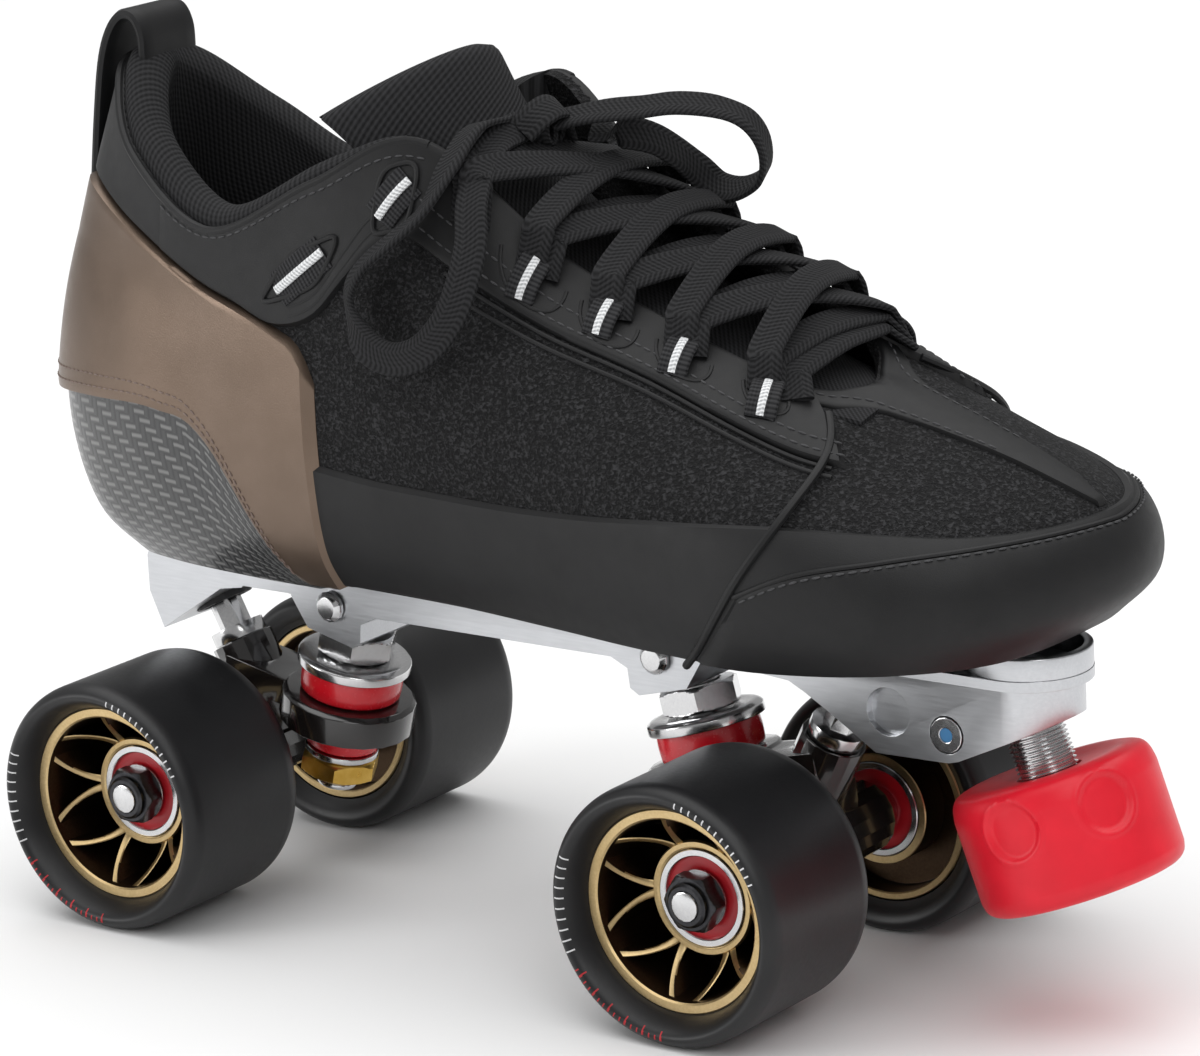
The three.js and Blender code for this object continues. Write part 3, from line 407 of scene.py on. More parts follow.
# %% Spun profiles
def spun(profile, sides=72, loop=True):
    """Points and faces of a profile of (radius, height) turned about +Z, outside on the
    right of its path as it climbs. Points on the axis are merged afterwards."""
    profile = np.asarray(profile, float)
    angle = np.linspace(0, 2 * math.pi, sides, endpoint=False)
    r, h = profile[:, 0], profile[:, 1]
    points = np.stack([r[None] * np.cos(angle)[:, None], r[None] * np.sin(angle)[:, None],
                       np.broadcast_to(h, (sides, len(r)))], -1)
    columns = len(r)
    if loop:
        points = np.concatenate([points, points[:, :1]], 1)
        columns += 1
    faces = grid_faces(sides, columns, 0, True, False)
    return points.reshape(-1, 3), faces


def welded(name, parts, finishes, body, which=None, **more):
    """A piece from several (points, faces) in the frame, with doubles merged and the
    outsides facing out."""
    points, faces, groups, count = [], [], [], 0
    for index, (part_points, part_faces) in enumerate(parts):
        points.append(np.asarray(part_points, float))
        faces += [tuple(int(k) + count for k in f) for f in part_faces]
        groups += [which[index] if which else 0] * len(part_faces)
        count += len(part_points)
    made = piece(name, np.concatenate(points), faces, finishes, body, which=groups, **more)
    bm = bmesh.new()
    bm.from_mesh(made.data)
    bmesh.ops.remove_doubles(bm, verts=bm.verts, dist=1e-7)
    bmesh.ops.dissolve_degenerate(bm, edges=bm.edges, dist=1e-7)
    bmesh.ops.recalc_face_normals(bm, faces=bm.faces)
    bm.to_mesh(made.data)
    bm.free()
    made.data.set_sharp_from_angle(angle=math.radians(more.get("sharp", 40)))
    return made


def moved(part, matrix):
    points, faces = part
    turn_part = np.array(matrix.to_3x3())
    return points @ turn_part.T + np.array(matrix.translation), faces


def spun_piece(name, profile, matrix, finish, body, sides=72, loop=True, **more):
    return welded(name, [moved(spun(profile, sides, loop), to_frame @ matrix)], finish, body, **more)


# %% [markdown]
# The boot stands on a last: twelve stations from the heel to the toe on each side, each
# with six points from the edge of the sole to the top line. A smooth curve through them,
# first round the boot and then up it, gives the surface that everything is cut from.

# %% The last
LAST = np.array([
    [[-106, 0, 80], [-116, 0, 91], [-121.5, 0, 112], [-119, 0, 138], [-111, 0, 166], [-103, 0, 195]],
    [[-97, 16, 80], [-107, 20, 91], [-112.5, 21, 112], [-111, 20, 138], [-105, 17, 165], [-97, 14, 191]],
    [[-80, 23, 80], [-85, 28, 92], [-88, 31, 112], [-88, 30, 136], [-87, 27, 157], [-83, 27, 177]],
    [[-55, 26, 80], [-57, 32, 92], [-58, 35, 112], [-58, 35, 132], [-57, 34, 149], [-56, 34, 163]],
    [[-25, 27, 80], [-25, 34, 92], [-24, 38, 112], [-24, 38, 133], [-24, 36, 154], [-26, 33, 176]],
    [[5, 29, 80], [4, 36, 92], [5, 40, 112], [5, 40, 131], [4, 35, 154], [0, 26, 186]],
    [[35, 33, 80], [36, 40, 92], [37, 43, 110], [37, 41, 127], [35, 33, 144], [31, 18, 161]],
    [[65, 38, 80], [68, 45, 92], [69, 47, 108], [68, 43, 122], [65, 32, 136], [59, 17, 148]],
    [[95, 41, 80], [98, 48, 92], [99, 49, 106], [97, 43, 118], [92, 30, 129], [83, 16, 139]],
    [[121, 38, 82], [127, 44, 93], [127, 44, 105], [121, 37, 115], [110, 23, 125], [92, 11, 135.5]],
    [[140, 25, 85], [147.5, 28.5, 95], [146.5, 28.5, 106], [139, 23, 115], [121, 14, 125], [96, 5, 135]],
    [[148, 0, 88], [158.5, 0, 98], [157.5, 0, 108], [149, 0, 116], [128, 0, 125.5], [98, 0, 135.5]],
], float)
TOE = len(LAST) - 1
AROUND = 2 * TOE
TOP = LAST.shape[1] - 1


def last_ring():
    rows = []
    for station in range(AROUND):
        lateral = station <= TOE
        x, out, z = LAST[station if lateral else AROUND - station].T
        swing = 4 * (np.maximum(0, x - 60) / 105) ** 2
        instep = math.sin(math.pi * min(max((AROUND - station - 3) / 7.5, 0), 1))
        rise = 0 if lateral else 8 * instep * (np.arange(TOP + 1) / TOP) ** 2
        rows.append(np.stack([x, (-out if lateral else out) + swing, z + rise], -1))
    return np.array(rows)


RINGS = last_ring()


def curve_weights(t):
    return 0.5 * np.stack([-t + 2 * t**2 - t**3, 2 - 5 * t**2 + 3 * t**3, t + 4 * t**2 - 3 * t**3,
                           -(t**2) + t**3], -1)


def on_boot(station, level):
    """Points on the boot; station and level are arrays of one shape."""
    station, level = np.broadcast_arrays(np.asarray(station, float), np.asarray(level, float))
    first = np.floor(station).astype(int)
    near = (first[..., None] + np.arange(-1, 3)) % AROUND
    column = np.einsum("...k,...klc->...lc", curve_weights(station - first), RINGS[near])
    column = np.concatenate([2 * column[..., :1, :] - column[..., 1:2, :], column,
                             2 * column[..., -1:, :] - column[..., -2:-1, :]], -2)
    low = np.clip(np.floor(level).astype(int), 0, TOP - 1)
    picked = np.take_along_axis(column, (low[..., None] + np.arange(4))[..., None], -2)
    return np.einsum("...k,...kc->...c", curve_weights(level - low), picked)


def off_boot(station, level, out):
    """The same points, moved out along the surface's normal, in millimetres."""
    station, level, out = np.broadcast_arrays(*(np.asarray(a, float) for a in (station, level, out)))
    step = 0.04
    along_it = on_boot(station + step, level) - on_boot(station - step, level)
    low, high = np.maximum(level - step, 0), np.minimum(level + step, TOP)
    normal = np.cross(along_it, on_boot(station, high) - on_boot(station, low))
    normal /= np.linalg.norm(normal, axis=-1, keepdims=True) + 1e-12
    return on_boot(station, level) + normal * out[..., None]


def between(knots):
    """A smooth line through (station, level) knots, for a seam or an edge."""
    knots = np.asarray(knots, float)

    def line(station):
        x, y = knots[:, 0], knots[:, 1]
        slope = np.gradient(y, x)
        s = np.clip(np.asarray(station, float), x[0], x[-1])
        i = np.clip(np.searchsorted(x, s) - 1, 0, len(x) - 2)
        h = x[i + 1] - x[i]
        t = (s - x[i]) / h
        return ((2 * t**3 - 3 * t**2 + 1) * y[i] + (t**3 - 2 * t**2 + t) * h * slope[i]
                + (3 * t**2 - 2 * t**3) * y[i + 1] + (t**3 - t**2) * h * slope[i + 1])

    return line


# %% [markdown]
# An overlay is a patch of that surface between two seam lines. Its face stands a
# millimetre or two proud and rounds down at every edge, as cut and skived leather does.


# %% Overlays
def overlay(name, start, stop, low, high, finish, proud=1.5, fine=10, rows=26, slot="leather",
            replaces=(), under=-0.4, bulge=None, edge=1.4, lean=0.0, **more):
    low = low if callable(low) else (lambda s, value=low: np.full_like(s, value))
    high = high if callable(high) else (lambda s, value=high: np.full_like(s, value))
    stations = np.linspace(start, stop, int((stop - start) * fine) + 1)
    share = 0.5 - 0.5 * np.cos(np.linspace(0, math.pi, rows))
    share = 0.35 * share + 0.65 * np.linspace(0, 1, rows)
    near_start = np.clip(1 - (stations - start), 0, 1) - np.clip(1 - (stop - stations), 0, 1)
    s = stations[:, None] + lean * near_start[:, None] * (1 - share)[None]
    v = low(stations)[:, None] * (1 - share) + high(stations)[:, None] * share
    face = on_boot(s, v)
    up_run = np.concatenate([np.zeros((len(s), 1)),
                             np.cumsum(np.linalg.norm(np.diff(face, axis=1), axis=-1), 1)], 1)
    gap = np.minimum(up_run, up_run[:, -1:] - up_run)
    along_run = np.concatenate([[0], np.cumsum(np.linalg.norm(np.diff(face.mean(1), axis=0), axis=-1))])
    if stop - start < AROUND - 0.01:
        gap = np.minimum(gap, np.minimum(along_run, along_run[-1] - along_run)[:, None])
    round_off = np.sqrt(np.clip(1 - (1 - np.clip(gap / edge, 0, 1)) ** 2, 0, 1))
    extra = bulge(s, v) if bulge else 0
    outer = off_boot(s, v, 0.15 + (proud - 0.15 + extra) * round_off)
    inner = off_boot(s, v, under)
    return sheet_piece(name, outer, inner, finish, "skate", slot=slot, replaces=replaces, **more)


# %% The upper's textile
stations = np.linspace(0, AROUND, 220, endpoint=False)
levels = np.linspace(0.1, TOP, 60)
S, V = np.meshgrid(stations, levels, indexing="ij")
upper = sheet_piece("upper_textile", off_boot(S, V, 0), off_boot(S, V, -2.6), pebbled, "skate",
                    closed=True, slot="textile", replaces=("upper",))
print("upper", len(upper.data.polygons), "faces")

# %% [markdown]
# The seam lines of the real boot, as stations and levels. The bronze heel counter
# is high behind, runs forward and turns down to the sole as an L; the carbon shell shows
# below it. The rand goes round the forefoot, and the toe strip runs from the throat to
# the toe.

# %% Seam lines
bronze_top = between([(0, 4.0), (1, 4.12), (2, 4.2), (2.7, 4.12), (3.2, 3.85), (3.6, 3.5), (3.85, 3.2),
                      (3.95, 2.9)])
bronze_foot = between([(0, 2.2), (1, 2.22), (1.8, 2.28), (2.5, 2.3), (2.8, 2.22), (3.05, 1.85),
                       (3.25, 1.3), (3.42, 0.7), (3.55, 0.1)])
rand_top = between([(3.95, 2.0), (4.6, 1.92), (5.5, 1.95), (6.4, 2.12), (7.2, 2.4), (8.1, 2.72),
                    (9.0, 2.85), (9.8, 2.72), (10.5, 2.62), (11, 2.62)])
strip_foot = between([(8.25, 4.75), (8.9, 4.72), (9.6, 4.68), (10.15, 4.5), (10.5, 4.15), (10.75, 3.6),
                      (10.88, 3.0), (11, 2.5)])
eyestay_foot = between([(0, 4.02), (1, 4.14), (2, 4.22), (2.7, 4.14), (3.2, 3.87), (3.6, 3.52),
                        (3.95, 3.6), (4.25, 3.98), (4.5, 4.22), (4.85, 4.34), (5.2, 4.25),
                        (6.0, 4.18), (6.9, 4.15), (7.7, 3.98), (8.3, 3.84), (8.75, 3.8)])
sole_edge = between([(3.5, 0.05), (4.2, 0.18), (5, 0.17), (6, 0.13), (7, 0.12), (8, 0.17), (8.6, 0.21),
                    (9.2, 0.18),
                     (10, 0.02), (10.5, -0.08), (11, -0.1)])
toe_cap = between([(7.85, 1.55), (8.3, 1.98), (9.0, 2.32), (9.9, 2.45), (10.6, 2.4), (11, 2.35)])


def both_sides(line):
    """The same seam on the medial side, where stations run back from the toe."""
    return lambda s: line(np.where(s > TOE, AROUND - s, np.abs(s)))


# %% Carbon shell and heel counter
def slab(name, inset, low, high, finish, slot, replaces, dish=0.0):
    """The flat sole, cut to the boot's edge line; its underside is dished up at the edge."""
    s = np.linspace(0.02, TOE - 0.02, 120)
    rows = []
    for side in (1, -1):
        edge_line = on_boot(side * s, 0)
        tangent = on_boot(side * s + 0.02, 0) - on_boot(side * s - 0.02, 0)
        across_line = np.stack([-tangent[:, 1], tangent[:, 0]], -1)
        across_line /= np.linalg.norm(across_line, axis=1, keepdims=True)
        edge_line[:, :2] += across_line * inset
        rows.append(edge_line)
    share = np.linspace(0, 1, 25)[None, :, None]
    flat = rows[0][:, None] * (1 - share) + rows[1][:, None] * share
    wide = np.linalg.norm(rows[1] - rows[0], axis=1)[:, None, None]
    from_edge = np.minimum(share, 1 - share) * wide
    curl = dish * np.clip(1 - from_edge / 12, 0, 1) ** 2
    lift = np.array([0, 0, 1.0])
    return sheet_piece(name, flat + lift * (high + 0.4 * curl), flat + lift * (low + curl), finish, "skate",
                       slot=slot,
                       replaces=replaces)


slab("sole_slab", 2.4, -2.1, 1.9, carbon, "carbon", ("carbon_shell",), 5.0)
overlay("carbon_heel_cup", -3.75, 3.75, 0.0, both_sides(lambda s: bronze_foot(s) + 0.16), carbon,
        proud=1.9, slot="carbon", rows=24)


def counter_bulge(s, v):
    """How much further the counter stands out, low down and round the heel."""
    return 1.9 * np.clip((3.6 - v) / 1.4, 0, 1) * np.clip((2.9 - np.abs(s)) / 1.2, 0, 1)


overlay("heel_counter_bronze", -3.95, 3.95, both_sides(bronze_foot), both_sides(bronze_top),
        bronze, proud=2.3, slot="bronze", rows=34, fine=14, replaces=("heel_counter",),
        bulge=counter_bulge)

# %% Rand, toe strip, toe cap and eyestay
overlay("forefoot_rand", 3.5, AROUND - 3.5, both_sides(sole_edge), both_sides(rand_top), smooth_black,
        proud=1.2,
        rows=26, replaces=("toe_rand",))
overlay("toe_cap", 7.84, AROUND - 7.84, both_sides(sole_edge), both_sides(toe_cap), smooth_black, proud=2.0,
        rows=26,
        lean=-0.5)
overlay("toe_strip", 8.25, AROUND - 8.25, both_sides(strip_foot), TOP - 0.02, smooth_black,
        proud=1.0, rows=22)
overlay("eyestay_lateral", 2.4, 8.75, eyestay_foot, TOP, smooth_black, proud=1.6, rows=24,
        replaces=("eyestay",), fine=14)
overlay("eyestay_medial", AROUND - 8.75, AROUND - 2.4, both_sides(eyestay_foot), TOP, smooth_black,
        proud=1.6, rows=24, fine=14)
overlay("heel_top_band", -2.6, 2.6, both_sides(eyestay_foot), TOP, smooth_black, proud=1.4, rows=16)

# %% [markdown]
# Padding shows as a soft roll round the ankle and as the thick tongue. Each is a closed
# form that rounds over its edge, in ribbed cloth.

# %% Padded collar
s = np.linspace(-4.85, 4.85, 120)
turn_over = np.linspace(0, 1, 30)
roll = []
for t in turn_over:
    if t < 0.5:
        angle = math.pi * (t / 0.5)
        level = np.full_like(s, TOP)
        rim = off_boot(s, level, -5.6 + 5.2 * math.cos(angle))
        rim[:, 2] += 4.4 * math.sin(angle) * np.clip((4.9 - np.abs(s)) / 0.8, 0.15, 1)
    else:
        fall = (t - 0.5) / 0.5
        rim = off_boot(s, TOP - 2.0 * fall, -10.8 - 0.8 * math.sin(math.pi * fall) + 2.2 * fall)
    roll.append(rim)
for t in np.linspace(1, 0, 8):
    roll.append(off_boot(s, TOP - 2.0 * t, -3.4 - 0.6 * t))
roll = np.stack(roll, 1)


def tube_piece(name, rings, finish, body, **more):
    """A closed tube from rings of points, one ring per row, capped at both ends."""
    rows, columns = rings.shape[:2]
    i = np.arange(rows - 1)[:, None]
    j = np.arange(columns)[None, :]
    n = (j + 1) % columns
    faces = np.stack([i * columns + j, (i + 1) * columns + j, (i + 1) * columns + n, i * columns + n],
                     -1).reshape(-1, 4).tolist()
    points = rings.reshape(-1, 3)
    for row, flip in ((0, False), (rows - 1, True)):
        centre = len(points)
        points = np.concatenate([points, rings[row].mean(0)[None]])
        for k in range(columns):
            a, b = row * columns + k, row * columns + (k + 1) % columns
            faces.append([centre, b, a] if flip else [centre, a, b])
    steps = np.linalg.norm(np.diff(rings, axis=0), axis=-1).mean(1)
    round_it = np.linalg.norm(np.diff(np.concatenate([rings, rings[:, :1]], 1), axis=1), axis=-1).mean(0)
    u = np.concatenate([[0], np.cumsum(steps)])
    v = np.concatenate([[0], np.cumsum(round_it)[:-1]])
    half = v[-1] / 2
    v = np.minimum(v, 2 * half - v) if more.pop("mirror_uv", False) else v
    uvs = np.stack(np.meshgrid(u, v, indexing="ij"), -1).reshape(-1, 2)
    uvs = np.concatenate([uvs, uvs[:1], uvs[-1:]])
    return welded_uv(name, framed(points), faces, finish, body, uvs, **more)


def welded_uv(name, points, faces, finish, body, uvs, **more):
    made = piece(name, points, faces, finish, body, uvs=uvs, **more)
    bm = bmesh.new()
    bm.from_mesh(made.data)
    bmesh.ops.recalc_face_normals(bm, faces=bm.faces)
    bm.to_mesh(made.data)
    bm.free()
    return made


collar = tube_piece("collar_padding", roll, lining_rib, "skate", slot="lining",
                    replaces=("collar_lining",), sharp=60)

# %% Tongue
TONGUE_LINE = np.array([[104, 128, 40, 20], [84, 133.5, 38, 26], [62, 146, 36, 30], [38, 157, 32, 34],
                        [20, 168, 27, 40], [10, 178, 23, 55], [2, 190, 22, 88], [-5, 203, 22, 96]], float)


def smooth_line(knots, count):
    """Points evenly spread over a Catmull-Rom curve through the knots."""
    knots = np.asarray(knots, float)
    padded = np.concatenate([[2 * knots[0] - knots[1]], knots, [2 * knots[-1] - knots[-2]]])
    t = np.linspace(0, len(knots) - 1, count)
    i = np.clip(np.floor(t).astype(int), 0, len(knots) - 2)
    return np.einsum("nk,nkc->nc", curve_weights(t - i), padded[i[:, None] + np.arange(4)])


line = smooth_line(TONGUE_LINE, 80)
spine, arch_radius, arch_angle = line[:, :2], line[:, 2], np.radians(line[:, 3])
slope = np.gradient(spine, axis=0)
slope /= np.linalg.norm(slope, axis=1, keepdims=True)
share = np.linspace(-1, 1, 60)


def tongue_face(rise):
    angle = arch_angle[:, None] * -share[None]
    radius = arch_radius[:, None] + rise
    out = radius * np.cos(angle) - arch_radius[:, None]
    x = spine[:, :1] + slope[:, 1:2] * out
    z = spine[:, 1:2] - slope[:, :1] * out
    wing = share[None] ** 2 * np.clip((np.linspace(0, 1, 80)[:, None] - 0.72) / 0.28, 0, 1) ** 1.5
    return np.stack([x - 7 * wing, radius * np.sin(angle) * (1 + 0.1 * wing), z - 4 * wing], -1)


toe_rise = 4.6 * np.clip(1.3 - np.linspace(0, 1, 80)[:, None] / 0.4, 0, 1)
reach = np.minimum(1, (1 - np.abs(share[None])) / 0.08) * np.ones((80, 1))
length_share = np.linspace(0, 1, 80)[:, None]
reach = np.minimum(reach, np.minimum(1, (1 - length_share) / 0.035))
puff = np.sqrt(np.clip(1 - (1 - reach) ** 2, 0, 1))
tongue = sheet_piece("tongue_padding", tongue_face(-2.5 + toe_rise + 3.0 * puff),
                     tongue_face(-2.5 - 2.5 * puff),
                     tongue_twill, "skate", slot="lining", replaces=("tongue",))
slab("insole_foam", 2.3, 2.2, 4.7, sponge, "lining", ("insole",))

# %% [markdown]
# The laces are flat woven bands, 7.5 mm wide. A band follows a smooth line through chosen
# points, and at each point a direction says which way its flat side faces.


# %% Flat bands
def band_rings(route, facing, width, thick, count=None, corners=5):
    """Rings of a flat band with rounded edges along a route, in millimetres."""
    route = np.asarray(route, float)
    count = count or max(12, 4 * len(route))
    points = smooth_line(route, count)
    facing = smooth_line(np.broadcast_to(np.asarray(facing, float), route.shape), count)
    ahead = np.gradient(points, axis=0)
    ahead /= np.linalg.norm(ahead, axis=1, keepdims=True)
    normal = facing - (facing * ahead).sum(1, keepdims=True) * ahead
    normal /= np.linalg.norm(normal, axis=1, keepdims=True)
    side = np.cross(ahead, normal)
    half = width / 2 - thick / 2
    a = np.linspace(-math.pi / 2, math.pi / 2, corners)
    outline = [(half + thick / 2 * math.cos(k), thick / 2 * math.sin(k)) for k in a]
    outline += [(x, thick / 2) for x in np.linspace(half, -half, 7)[1:-1]]
    outline += [(-half - thick / 2 * math.cos(k), -thick / 2 * math.sin(k)) for k in a]
    outline += [(x, -thick / 2) for x in np.linspace(-half, half, 7)[1:-1]]
    outline = np.array(outline)
    return points[:, None] + side[:, None] * outline[None, :, :1] + normal[:, None] * outline[None, :,
                                                                                              1:], points


def band(name, route, facing, width, thick, finish, body="skate", **more):
    rings, points = band_rings(route, facing, width, thick, more.pop("count", None))
    made = tube_piece(name, rings, finish, body, mirror_uv=True, **more)
    return made, framed(points)


# %% The bow's two free loops
LACE_W, LACE_T = 7.5, 1.5
MEDIAL_LOOP = [[18, -1, 187], [27, 2, 189], [36, 5, 190], [44, 8, 191], [52, 12, 190], [58, 15, 187],
               [60, 18, 181], [58, 20, 174], [51, 21, 170], [44, 22, 170], [40, 20, 174], [38, 16, 178],
               [35, 11, 182], [30, 6, 184], [24, 3, 184]]
LATERAL_LOOP = [[14, -8.2, 187], [13, -16, 185], [14, -24, 181], [17, -32, 174], [20, -37, 166],
                [20, -41, 158], [18, -43.5, 151], [12, -45, 144], [4, -45.5, 141], [-4, -45, 143],
                [-9, -43.5, 149], [-10, -42.5, 155], [-6, -41.5, 161], [0, -39.5, 166], [6, -35.5, 172],
                [9, -29.5, 181], [9, -20, 187.5], [10, -11, 188]]


def route_length(points):
    return float(np.linalg.norm(np.diff(points, axis=0), axis=1).sum())


def outward(route, centre):
    """Directions from the loop's middle, so that its edge is turned to the eye."""
    return [np.asarray(p, float) - centre for p in route]


medial_middle = np.mean(MEDIAL_LOOP, 0)
medial_loop, medial_path = band("lace_loop_medial", MEDIAL_LOOP, outward(MEDIAL_LOOP, medial_middle),
                                LACE_W, LACE_T, lace_weave, slot="lace", count=90,
                                replaces=("medial_lace_loop",))
lateral_faces = [(0.35, -1, 0.25)] * 8 + [(0.1, -1, 0.2)] * 2 + [(-0.75, -0.8, 0.1)] * 2 + [(-0.8, -0.75,
                                                                                            0.8)] * 3 \
    + [(-0.3, -0.8, 0.8)] * 3
lateral_loop, lateral_path = band("lace_loop_lateral", LATERAL_LOOP, lateral_faces, LACE_W, LACE_T,
                                  lace_weave, slot="lace", count=110, replaces=("lateral_lace_loop",))
print("loop lengths", route_length(medial_path), route_length(lateral_path))

# %% [markdown]
# The lacing crosses the throat in five rows. Each row is a pair of flat bands that slant
# the opposite way and pass through the webbing loops on the eyestays, one lying over the
# other.

# %% Lacing rows
ROWS = [(7.95, 8.35), (7.15, 7.6), (6.47, 6.95), (5.85, 6.35), (5.35, 5.8)]


def throat_point(side, station, level, out):
    return off_boot(side * station, level, out)


def row_route(near_station, far_station, lift, sag=0.0):
    near = [throat_point(1, near_station, v, o) for v, o in ((4.62, 1.9), (4.85, 3.4 + lift), (5.0,
            3.9 + lift))]
    far = [throat_point(-1, far_station, v, o) for v, o in ((5.0, 3.9 + lift), (4.85, 3.4 + lift), (4.62,
           1.9))]
    start, end = near[-1], far[0]
    inner = []
    for t in (0.25, 0.5, 0.75):
        point = start * (1 - t) + end * t
        point[2] += (2.4 + lift - sag) * math.sin(math.pi * t)
        inner.append(point)
    return np.array(near + inner + far)


def row_facing(route):
    out = []
    for point in route:
        lean = np.array([0.5, point[1] * 0.045, 1.0])
        out.append(lean)
    return out


toe_bar = row_route(8.3, 8.62, -0.6)
band("lace_toe_bar", toe_bar, row_facing(toe_bar), LACE_W, LACE_T, lace_weave, slot="lace", count=44)
for index, (near_station, far_station) in enumerate(ROWS):
    straight = row_route(near_station, far_station, 0.0)
    band(f"lace_row_{index + 1}", straight, row_facing(straight), LACE_W, LACE_T, lace_weave,
         slot="lace", count=44, replaces=("lacing",) if index == 0 else ())
    if index + 1 < len(ROWS):
        slanted = row_route(ROWS[index + 1][0] + 0.05, far_station - 0.08, 1.6)
        band(f"lace_cross_{index + 1}", slanted, row_facing(slanted), LACE_W, LACE_T, lace_weave,
             slot="lace", count=44)
        slanted = row_route(near_station - 0.05, ROWS[index + 1][1] + 0.08, 3.0)
        band(f"lace_over_{index + 1}", slanted, row_facing(slanted), LACE_W, LACE_T, lace_weave,
             slot="lace", count=44)

# %% The knot
KNOT = np.array([15.0, -3.0, 186.0])
wrap = []
for k in range(26):
    a = 2 * math.pi * k / 12
    wrap.append(KNOT + np.array([1.2 * math.sin(a / 2) + 0.6 * math.cos(a),
                1.1 * (k - 12.5) / 6 + 4.4 * math.cos(a) * 0.5,
                                 3.6 * math.sin(a) - 1.0]))
wrap = np.array(wrap)
band("lace_knot", wrap, [(p - KNOT) + np.array([0.6, 0, 0.3]) for p in wrap], 7.0, LACE_T, lace_weave,
     slot="lace", count=120)
tuck = [KNOT + np.array(p) for p in ((2, 7, -3), (3, 4, 2.6), (3.4, 0, 4.4), (2.5, -4.5, 3.2), (0, -7.5,
        0))]
band("lace_knot_cross", tuck, [np.array([0.7, (p - KNOT)[1] * 0.1, 1]) for p in tuck], 7.5, LACE_T,
     lace_weave, slot="lace", count=40)

# %% [markdown]
# Repeats are grown with Geometry Nodes. Three small trees do it: copies round an axis,
# for spokes and printed ticks; copies up an axis, for screw threads; and stitches along
# a seam. Each has named inputs, and its result becomes a plain mesh.


# %% Node trees for repeats
def new_tree(name, inputs):
    tree = bpy.data.node_groups.new(name, "GeometryNodeTree")
    tree.interface.new_socket("Geometry", in_out="INPUT", socket_type="NodeSocketGeometry")
    for label, kind, value in inputs:
        made = tree.interface.new_socket(label, in_out="INPUT", socket_type=kind)
        if value is not None:
            made.default_value = value
    tree.interface.new_socket("Geometry", in_out="OUTPUT", socket_type="NodeSocketGeometry")
    return tree, tree.nodes.new("NodeGroupInput"), tree.nodes.new("NodeGroupOutput")


def tree_node(tree, kind, settings=None, **inputs):
    made = tree.nodes.new(kind)
    for key, value in (settings or {}).items():
        setattr(made, key, value)
    for key, value in inputs.items():
        socket = made.inputs[int(key[1:])] if key[1:].isdigit() else made.inputs[key.replace("_", " ")]
        if isinstance(value, bpy.types.NodeSocket):
            tree.links.new(value, socket)
        else:
            socket.default_value = value
    return made


def copies_tree(name, round_axis):
    """Copies of the input, turned round +Z or stacked up it."""
    tree, given, result = new_tree(name, [("Count", "NodeSocketInt", 6), ("Step", "NodeSocketFloat", 0.1),
                                          ("Start", "NodeSocketFloat", 0.0),
                                          ("Material", "NodeSocketMaterial", None)])
    index = tree_node(tree, "GeometryNodeInputIndex").outputs[0]
    far = tree_node(tree, "ShaderNodeMath", {"operation": "MULTIPLY_ADD"}, i0=index,
                    i1=given.outputs["Step"], i2=given.outputs["Start"]).outputs[0]
    vector = tree_node(tree, "ShaderNodeCombineXYZ", Z=far).outputs[0]
    more = {} if round_axis else {"Position": vector}
    points = tree_node(tree, "GeometryNodePoints", Count=given.outputs["Count"], **more).outputs[0]
    turned = tree_node(tree, "FunctionNodeEulerToRotation", Euler=vector).outputs[0]
    more = {"Rotation": turned} if round_axis else {}
    copies = tree_node(tree, "GeometryNodeInstanceOnPoints", Points=points,
                       Instance=given.outputs["Geometry"], **more).outputs[0]
    real = tree_node(tree, "GeometryNodeRealizeInstances", Geometry=copies).outputs[0]
    painted = tree_node(tree, "GeometryNodeSetMaterial", Geometry=real,
                        Material=given.outputs["Material"]).outputs[0]
    tree.links.new(painted, result.inputs[0])
    return tree


def stitches_tree():
    """Short rounded stitches along the input's edges."""
    tree, given, result = new_tree("stitches", [("Pitch", "NodeSocketFloat", 0.003),
                                                ("Length", "NodeSocketFloat", 0.002),
                                                ("Thickness", "NodeSocketFloat", 0.0006),
                                                ("Material", "NodeSocketMaterial", None)])
    curve = tree_node(tree, "GeometryNodeMeshToCurve", Mesh=given.outputs["Geometry"]).outputs[0]
    even = tree_node(tree, "GeometryNodeResampleCurve", {"mode": "LENGTH"}, Curve=curve,
                     Length=given.outputs["Pitch"]).outputs[0]
    points = tree_node(tree, "GeometryNodeCurveToPoints", {"mode": "EVALUATED"}, Curve=even)
    turned = tree_node(tree, "FunctionNodeAlignRotationToVector", {"axis": "Z"},
                       Vector=points.outputs["Tangent"]).outputs[0]
    bead = tree_node(tree, "GeometryNodeMeshUVSphere", Segments=6, Rings=5, Radius=0.5).outputs[0]
    size = tree_node(tree, "ShaderNodeCombineXYZ", X=given.outputs["Thickness"],
                     Y=given.outputs["Thickness"], Z=given.outputs["Length"]).outputs[0]
    copies = tree_node(tree, "GeometryNodeInstanceOnPoints", Points=points.outputs["Points"],
                       Instance=bead, Rotation=turned, Scale=size).outputs[0]
    real = tree_node(tree, "GeometryNodeRealizeInstances", Geometry=copies).outputs[0]
    painted = tree_node(tree, "GeometryNodeSetMaterial", Geometry=real,
                        Material=given.outputs["Material"]).outputs[0]
    tree.links.new(painted, result.inputs[0])
    return tree


ROUND_COPIES = copies_tree("copies_round", True)
STACKED_COPIES = copies_tree("copies_up", False)
STITCHES = stitches_tree()


